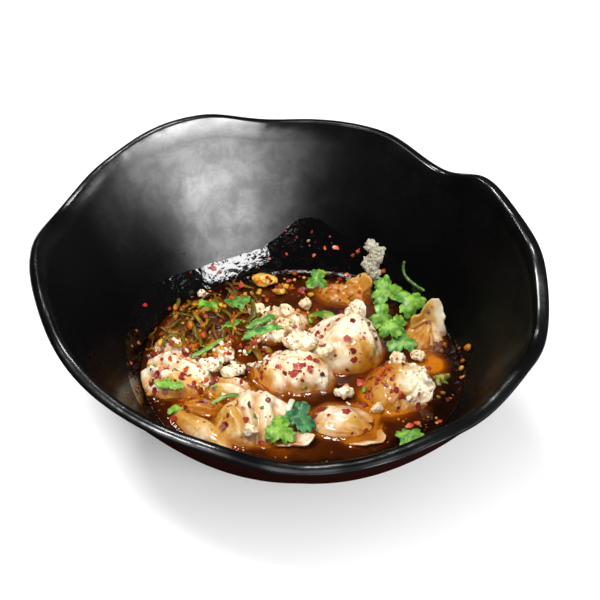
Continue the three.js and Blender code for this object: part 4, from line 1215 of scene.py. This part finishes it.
def make_scatter_tree():
    """Geometry Nodes that lay random kinds of piece on a surface, thick where its mark is high."""
    tree = bpy.data.node_groups.new("Scattered", "GeometryNodeTree")
    wanted = {"Surface": "NodeSocketGeometry", "Kinds": "NodeSocketCollection", "Mark": "NodeSocketString",
              "Apart": FLOAT, "Most": FLOAT, "Small": FLOAT, "Large": FLOAT, "Tilt": FLOAT, "Lift": FLOAT,
              "Last Kind": "NodeSocketInt", "Seed": "NodeSocketInt", "Finish": "NodeSocketMaterial"}
    for key, kind in wanted.items():
        tree.interface.new_socket(name=key, in_out="INPUT", socket_type=kind)
    tree.interface.new_socket(name="Pieces", in_out="OUTPUT", socket_type="NodeSocketGeometry")
    n = Nodes(tree)
    given = n.add("NodeGroupInput").outputs

    def chance(step, low, high):
        seed = n.plus(given["Seed"], float(step))
        return n.add("FunctionNodeRandomValue", {2: low, 3: high, 8: seed}, data_type="FLOAT").outputs[1]

    named = n.add("GeometryNodeInputNamedAttribute", {"Name": given["Mark"]}, data_type="FLOAT")
    spread = n.add("GeometryNodeDistributePointsOnFaces", {
        "Mesh": given["Surface"], "Distance Min": given["Apart"], "Density Max": given["Most"],
        "Density Factor": named.outputs["Attribute"], "Seed": given["Seed"],
    }, distribute_method="POISSON").outputs
    kinds = n.add("GeometryNodeCollectionInfo", {
        "Collection": given["Kinds"], "Separate Children": True, "Reset Children": True}).outputs[0]
    back = n.times(given["Tilt"], -1.0)
    lean = n.add("ShaderNodeCombineXYZ", {
        0: chance(1, back, given["Tilt"]), 1: chance(2, back, given["Tilt"]), 2: chance(3, 0.0, TAU),
    }).outputs[0]
    lean = n.add("FunctionNodeEulerToRotation", {0: lean}).outputs[0]
    turned = n.add(
        "FunctionNodeRotateRotation", {0: spread["Rotation"], 1: lean}, rotation_space="LOCAL").outputs[0]
    pick = n.add("FunctionNodeRandomValue", {4: 0, 5: given["Last Kind"], 8: n.plus(given["Seed"], 4.0)},
                 data_type="INT").outputs[2]
    skew = n.math("POWER", chance(5, 0.0, 1.0), 1.8)
    scale = n.add("ShaderNodeMapRange", {
        "Value": skew, "To Min": given["Small"], "To Max": given["Large"]}).outputs[0]
    laid = n.add("GeometryNodeInstanceOnPoints", {
        "Points": spread["Points"], "Instance": kinds, "Pick Instance": True, "Instance Index": pick,
        "Rotation": turned, "Scale": scale}).outputs[0]
    lift = n.add("ShaderNodeCombineXYZ", {2: given["Lift"]}).outputs[0]
    laid = n.add("GeometryNodeTranslateInstances", {
        "Instances": laid, "Translation": lift, "Local Space": True}).outputs[0]
    toned = {"Geometry": laid, "Name": "tone", "Value": chance(6, 0.0, 1.0)}
    laid = n.add("GeometryNodeStoreNamedAttribute", toned, data_type="FLOAT", domain="INSTANCE").outputs[0]
    real = n.add("GeometryNodeRealizeInstances", {"Geometry": laid}).outputs[0]
    real = n.add("GeometryNodeSetMaterial", {"Geometry": real, "Material": given["Finish"]}).outputs[0]
    n.add("NodeGroupOutput", {0: real})
    return tree


SCATTERED = make_scatter_tree()


def scattered(name, kinds, surface, finish, slot, mark, apart, most, sizes, tilt, lift, seed, smooth=False):
    """One plain mesh of pieces laid on a surface. sizes and lift are in millimetres, tilt is in degrees."""
    home = bpy.data.collections.new(name)
    shapes = []
    for i, (points, faces) in enumerate(kinds):
        mesh = new_mesh(f"{name}_{i}", np.asarray(points) * MM, faces)
        shapes.append(bpy.data.objects.new(f"{name}_{i}", mesh))
        home.objects.link(shapes[-1])
    carrier = add_object("carrier", surface.copy())
    modifier = carrier.modifiers.new("scattered", "NODES")
    modifier.node_group = SCATTERED
    values = {"Kinds": home, "Mark": mark, "Apart": apart * MM, "Most": float(most), "Small": sizes[0],
              "Large": sizes[1], "Tilt": math.radians(tilt), "Lift": lift * MM, "Last Kind": len(kinds) - 1,
              "Seed": seed, "Finish": finish}
    for item in SCATTERED.interface.items_tree:
        if item.name in values:
            modifier[item.identifier] = values[item.name]
    mesh = made_by(carrier)
    for shape in shapes:
        bpy.data.objects.remove(shape)
    bpy.data.collections.remove(home)
    return shown_mesh(name, mesh, finish, smooth=smooth)


def flake_form(seed, length=1.0, width=0.68, thick=0.14, columns=9):
    """A thin bent flake about one millimetre long."""
    chance = np.random.default_rng(seed)
    knots = 1 + chance.uniform(-0.28, 0.28, columns)
    knots_at = full_turn(columns)
    bend, roll = chance.uniform(-0.35, 0.35, 2)

    def edge(turn):
        plain = 0.5 / np.hypot(np.cos(turn) / length, np.sin(turn) / width)
        return plain * np.interp(turn % TAU, np.r_[knots_at, TAU], np.r_[knots, knots[0]])

    return sheet_form(columns, 1, edge, lambda x, y: bend * x**2 + roll * y, lambda share: thick + 0 * share)


def lump_form(seed, rough_by, squash=0.8):
    """An uneven lump about one millimetre across."""
    rows, columns = 4, 8
    down = np.pi * np.arange(1, rows + 1)[:, None] / (rows + 1)
    turn = full_turn(columns)[None, :] + 0.4 * np.arange(rows)[:, None]
    rings = around(turn, np.sin(down), -np.cos(down)) / 2
    points, faces = skin((0, 0, -0.5), rings, (0, 0, 0.5))
    points = points * (1 + rough_by * rough(points, 0.45, seed, 2))[:, None]
    points[:, 2] = np.clip(points[:, 2], -0.34, 0.34)
    return points * (1, 0.8, squash), faces


def ribbon_form(seed, width=0.16, thick=0.03, segments=9):
    """A limp strip about one millimetre long, to be scaled to 8 to 16."""
    chance = np.random.default_rng(seed)
    t = np.linspace(0, 1, segments)
    bend, wave = chance.uniform(-1.1, 1.1), chance.uniform(0, TAU)
    heading = bend * (t - 0.5) + 0.28 * np.sin(TAU * t + wave)
    step = np.stack([np.cos(heading), np.sin(heading)], axis=-1) / (segments - 1)
    path = np.cumsum(step, axis=0)
    path -= path.mean(axis=0)
    z = 0.03 * np.sin(1.6 * TAU * t + 2 * wave) - 0.05 * (2 * t - 1) ** 2
    half = width / 2 * (0.45 + 0.55 * np.sin(math.pi * (0.1 + 0.8 * t)))
    side = np.stack([-np.sin(heading), np.cos(heading)], axis=-1) * half[:, None]
    tip = 0.02 * np.sin(TAU * t + wave)
    rings = np.stack([np.column_stack([path + side * across, z + thick / 2 * up + tip * np.sign(across)])
                      for across, up in ((-1, -1), (1, -1), (0.8, 1), (-0.8, 1))], axis=1)
    return skin(rings[0].mean(axis=0), rings, rings[-1].mean(axis=0))


def lay_large_flakes(cover):
    """The large flakes, each flat on what lies under its place."""
    tree = tree_of([cover])
    parts, tones = [], []
    for i, (x, y, length, width, turn, tone) in enumerate(LARGE_FLAKES):
        hit = seen_from_above(tree, x, y)
        if hit[0] is None:
            continue
        points, faces = flake_form(i + 300, length * 1.1, width * 1.1, 0.45, 12)
        laid = points @ (turned_onto(hit[1]) @ about("Z", turn)).T * MM
        parts.append((laid + np.array(hit[0]) + np.array(hit[1]) * 0.35 * MM, faces))
        tones += [tone] * len(points)
    points, faces = joined(parts)
    shown("large_flakes", points, faces, CHILLI, {"tone": tones}, smooth=False)


def lay_greens(cover, points):
    """Limp strips of leaf over the mound of pickled greens and in the broth round it."""
    greens = blobs(points, [(-48, 34, 19, 1.0), (-34, 22, 9, 0.8), (-30, 46, 10, 0.8), (-58, 22, 8, 0.8)])
    mark_points(cover, greens=np.clip(greens * well_inside(points), 0, 1))
    ribbons = [ribbon_form(i + 40, 0.08 + 0.05 * (i % 4)) for i in range(8)]
    return scattered("greens_strips", ribbons, cover, GREENS, "pickled_greens", "greens",
                     2.3, 90000, (6, 18), 16, 0.15, 8, True)


def scatter_food(cover, points):
    """Flakes, bits, crumbs, snips of herb and beads of oil, as thick as the photo shows."""
    flat = smoothstep(normals_of(cover)[:, 2], 0.1, 0.5)
    height = points[:, 2]
    dry = smoothstep(height, BROTH_LEVEL + 0.8, BROTH_LEVEL + 1.6)
    inside = well_inside(points)
    flakes = (0.04 + 0.9 * blobs(points, FLAKE_CLUSTERS)) * (0.35 + 0.65 * dry)
    crumbs = blobs(points, CRUMB_CLUSTERS) * smoothstep(rough(points, 6, 21), -0.5, 0.1)
    mark_points(
        cover,
        flakes=np.clip(flakes * flat * inside, 0, 1),
        bits=np.clip((0.02 + blobs(points, BIT_CLUSTERS)) * flat * inside, 0, 1),
        crumbs=np.clip(crumbs * flat * (0.25 + 0.75 * dry), 0, 1),
        snips=np.clip((0.04 + 0.5 * blobs(points, FLAKE_CLUSTERS)) * flat * inside, 0, 1),
        oil=(1 - dry) * inside * smoothstep(height, 31, 32.3),
    )
    flake_kinds = [flake_form(i) for i in range(8)]
    snip_kinds = [flake_form(i + 60, 1.0, 0.5, 0.12, 10) for i in range(5)]
    lumps, fine, beads = ([lump_form(i + first, *form) for i in range(count)] for first, count, form in (
        (0, 6, (0.55, 0.75)), (20, 5, (0.6,)), (80, 2, (0.02, 0.3))))
    for name, kinds, finish, slot, *laid in (
        ("chilli_flakes", flake_kinds, CHILLI, "chilli_flake",
         "flakes", 1.8, 180000, (1.1, 3.8), 22, 0.15, 5),
        ("orange_bits", lumps, BITS, "yellow_radish", "bits", 2.2, 110000, (1.4, 4.2), 40, 0.2, 6, True),
        ("fine_crumbs", fine, CRUMB, "pale_crumb", "crumbs", 1.1, 460000, (1.0, 3.6), 60, 0.0, 7, True),
        ("herb_snips", snip_kinds, STALK, "green_stalk", "snips", 5.0, 9000, (2.0, 4.5), 20, 0.3, 9, True),
        ("oil_beads", beads, OIL, "broth", "oil", 2.6, 14000, (0.4, 1.8), 0, 0.0, 10, True),
    ):
        scattered(name, kinds, cover, finish, slot, *laid)


def lay_wall_bits():
    """The bits that stick to the wall, each flat against it."""
    parts, tones = [], []
    for i, (turn, climb, size, tone) in enumerate(WALL_BITS):
        spot = math.radians(turn)
        r, z, lean = wall_at(np.array([spot]), np.array([climb]), 0.25 * size)
        points, faces = lump_form(i + 140, 0.5, 0.7)
        level = math.sin(lean[0])
        inwards = (-math.cos(spot) * level, -math.sin(spot) * level, math.cos(lean[0]))
        parts.append((in_row_frame(points * size @ turned_onto(inwards).T + around(spot, r, z)[0]), faces))
        tones += [tone] * len(points)
    points, faces = joined(parts)
    shown("wall_bits", points, faces, BITS, {"tone": tones})


def scatter_wall(wall, points):
    """Flakes and drops that the broth left on the wet wall."""
    turn = np.degrees(np.arctan2(points[:, 1], points[:, 0]))
    patches = 0.5 + rough(points, 9, 4)
    flakes = patches * (0.3 + 0.7 * smoothstep(turn, 60, 80)) * (1 - 0.7 * smoothstep(turn, 128, 140))
    mark_points(wall, flakes=np.clip(flakes, 0, 1), drops=np.clip(patches, 0, 1))
    kinds = [flake_form(i + 100) for i in range(6)]
    scattered("wall_flakes", kinds, wall, CHILLI, "chilli_flake", "flakes",
              2.6, 20000, (1.2, 3.6), 15, 0.15, 11)
    drops = [lump_form(i + 120, 0.12, 0.4) for i in range(3)]
    scattered("wall_drops", drops, wall, MELAMINE, "broth", "drops",
              2.4, 30000, (0.6, 2.0), 0, 0.0, 12, True)


# The studio


PICTURE_WIDTH = 600


def make_camera():
    """The camera that took the photo, looking 40 degrees down."""
    data = bpy.data.cameras.new("camera")
    data.lens = 83.207
    data.sensor_width = 36
    data.shift_x = 1.0 / PICTURE_WIDTH
    data.shift_y = 37.1 / PICTURE_WIDTH
    data.clip_start, data.clip_end = 0.01, 20
    camera = add_object("camera", data)
    camera.location = in_row_frame((0, -497.93, 469.81))
    camera.rotation_euler = (math.radians(50), 0, 0)
    bpy.context.scene.camera = camera


def add_light(name, place, aim, width, height, radiance, colour=(1, 1, 1)):
    """A flat soft light, in metres, whose face shines with this radiance."""
    data = bpy.data.lights.new(name, "AREA")
    data.shape = "RECTANGLE"
    data.size, data.size_y = width, height
    data.energy = radiance * math.pi * width * height
    data.color = colour
    light = add_object(name, data)
    light.location = place
    light.rotation_euler = (Vector(aim) - Vector(place)).to_track_quat("-Z", "Y").to_euler()


FOOD_MIDDLE = (0, 0.05, 0.05)


def towards(azimuth, elevation, distance):
    """The place that many degrees round from the right and up, and that far, from the middle of the food."""
    a, e = math.radians(azimuth), math.radians(elevation)
    step = Vector((math.cos(a) * math.cos(e), math.sin(a) * math.cos(e), math.sin(e)))
    return Vector(FOOD_MIDDLE) + step * distance


def make_studio():
    """A dim white room with soft lamps over a pale floor."""
    scene = bpy.context.scene
    world = bpy.data.worlds.new("studio")
    world.use_nodes = True
    background = world.node_tree.nodes["Background"]
    background.inputs["Color"].default_value = (1, 1, 1, 1)
    background.inputs["Strength"].default_value = 0.03
    scene.world = world
    scene.view_settings.view_transform = "Standard"
    scene.view_settings.look = "None"
    add_light("overhead", (0, -0.75, 1.35), (0, 0, 0), 2.2, 1.2, 2.1)
    add_light("lamp above", towards(-155, 69, 1.25), (0, 0.0, 0.03), 0.28, 0.28, 39)
    add_light("glints", towards(118, 50, 1.1), (0, 0.02, 0.05), 0.1, 0.1, 40)
    add_light("waterline glints", towards(92, 68, 1.1), (0, 0, 0.04), 0.16, 0.1, 60)
    add_light("side strip", towards(-47, 17.5, 1.2), FOOD_MIDDLE, 0.78, 0.17, 30)
    add_light("low side strip", towards(-48, 3, 1.3), FOOD_MIDDLE, 0.75, 0.32, 42)
    add_light("faint side strip", towards(-76, 7, 1.3), FOOD_MIDDLE, 0.35, 0.3, 12)
    add_light("right glints", towards(-10, 18, 1.2), FOOD_MIDDLE, 0.3, 0.05, 25)
    side, thick = 8.0, 0.001
    mesh = bpy.data.meshes.new("floor")
    box = bmesh.new()
    lowered = Matrix.Translation((0, 0, -thick / 2))
    bmesh.ops.create_cube(box, size=1, matrix=lowered @ Matrix.Diagonal((side, side, thick, 1)))
    box.to_mesh(mesh)
    box.free()
    mesh.materials.append(make_floor_finish())
    floor = add_object("floor", mesh)


# Putting it together

make_camera()
make_studio()
make_bowl()
DUMPLING_PIECES = [make_dumpling(i + 1, d) for i, d in enumerate(DUMPLINGS)]
CRUMB_PIECES = [
    refined(f"crumb_lump_{i}", f"crumb_{i}", CRUMB, 1.1, 2.4, i, marks={"soaked": soaked})
    for i, soaked in enumerate(CRUMB_SOAKED, 1)]
RADISH_PIECES = [
    refined(f"radish_chunk_{i}", f"radish_{i}", RADISH, 0.4, 3.5, i + 20) for i in (1, 2)]
for i, dark in enumerate(HERB_DARKNESS, 1):
    if dark is None:
        pale = float(i == len(HERB_DARKNESS))
        refined(f"stalk_{i}", f"green_shred_{i}", STALK, 0.2, 3.0, i + 40, 3, {"pale": pale})
    else:
        make_blade(i, dark)
refined("stem_rod", "stem", STALK, 0.25, 3.0, 60, marks={"dark": 0.6})
CLUMP = refined("wall_clump", "wall_crumb", CRUMB, 1.1, 1.5, 61, marks={"grey": 0.75})
for i, leaf in enumerate(LEAVES):
    make_leaf(i + 1, leaf)
MOUND = refined("greens_mound", "pickled_greens", GREENS, 0.5, 4.5, 62, 2, {"tone": 0.04})
POOL = make_broth(tree_of([piece.data for piece in DUMPLING_PIECES] + [MOUND.data]))
BASE = [*DUMPLING_PIECES, *CRUMB_PIECES, *RADISH_PIECES, CLUMP, MOUND, POOL]
STRIPS = lay_greens(*make_cover(BASE))
COVER, COVER_POINTS = make_cover([*BASE, STRIPS])
lay_large_flakes(COVER)
scatter_food(COVER, COVER_POINTS)
scatter_wall(*make_wet_wall())
lay_wall_bits()
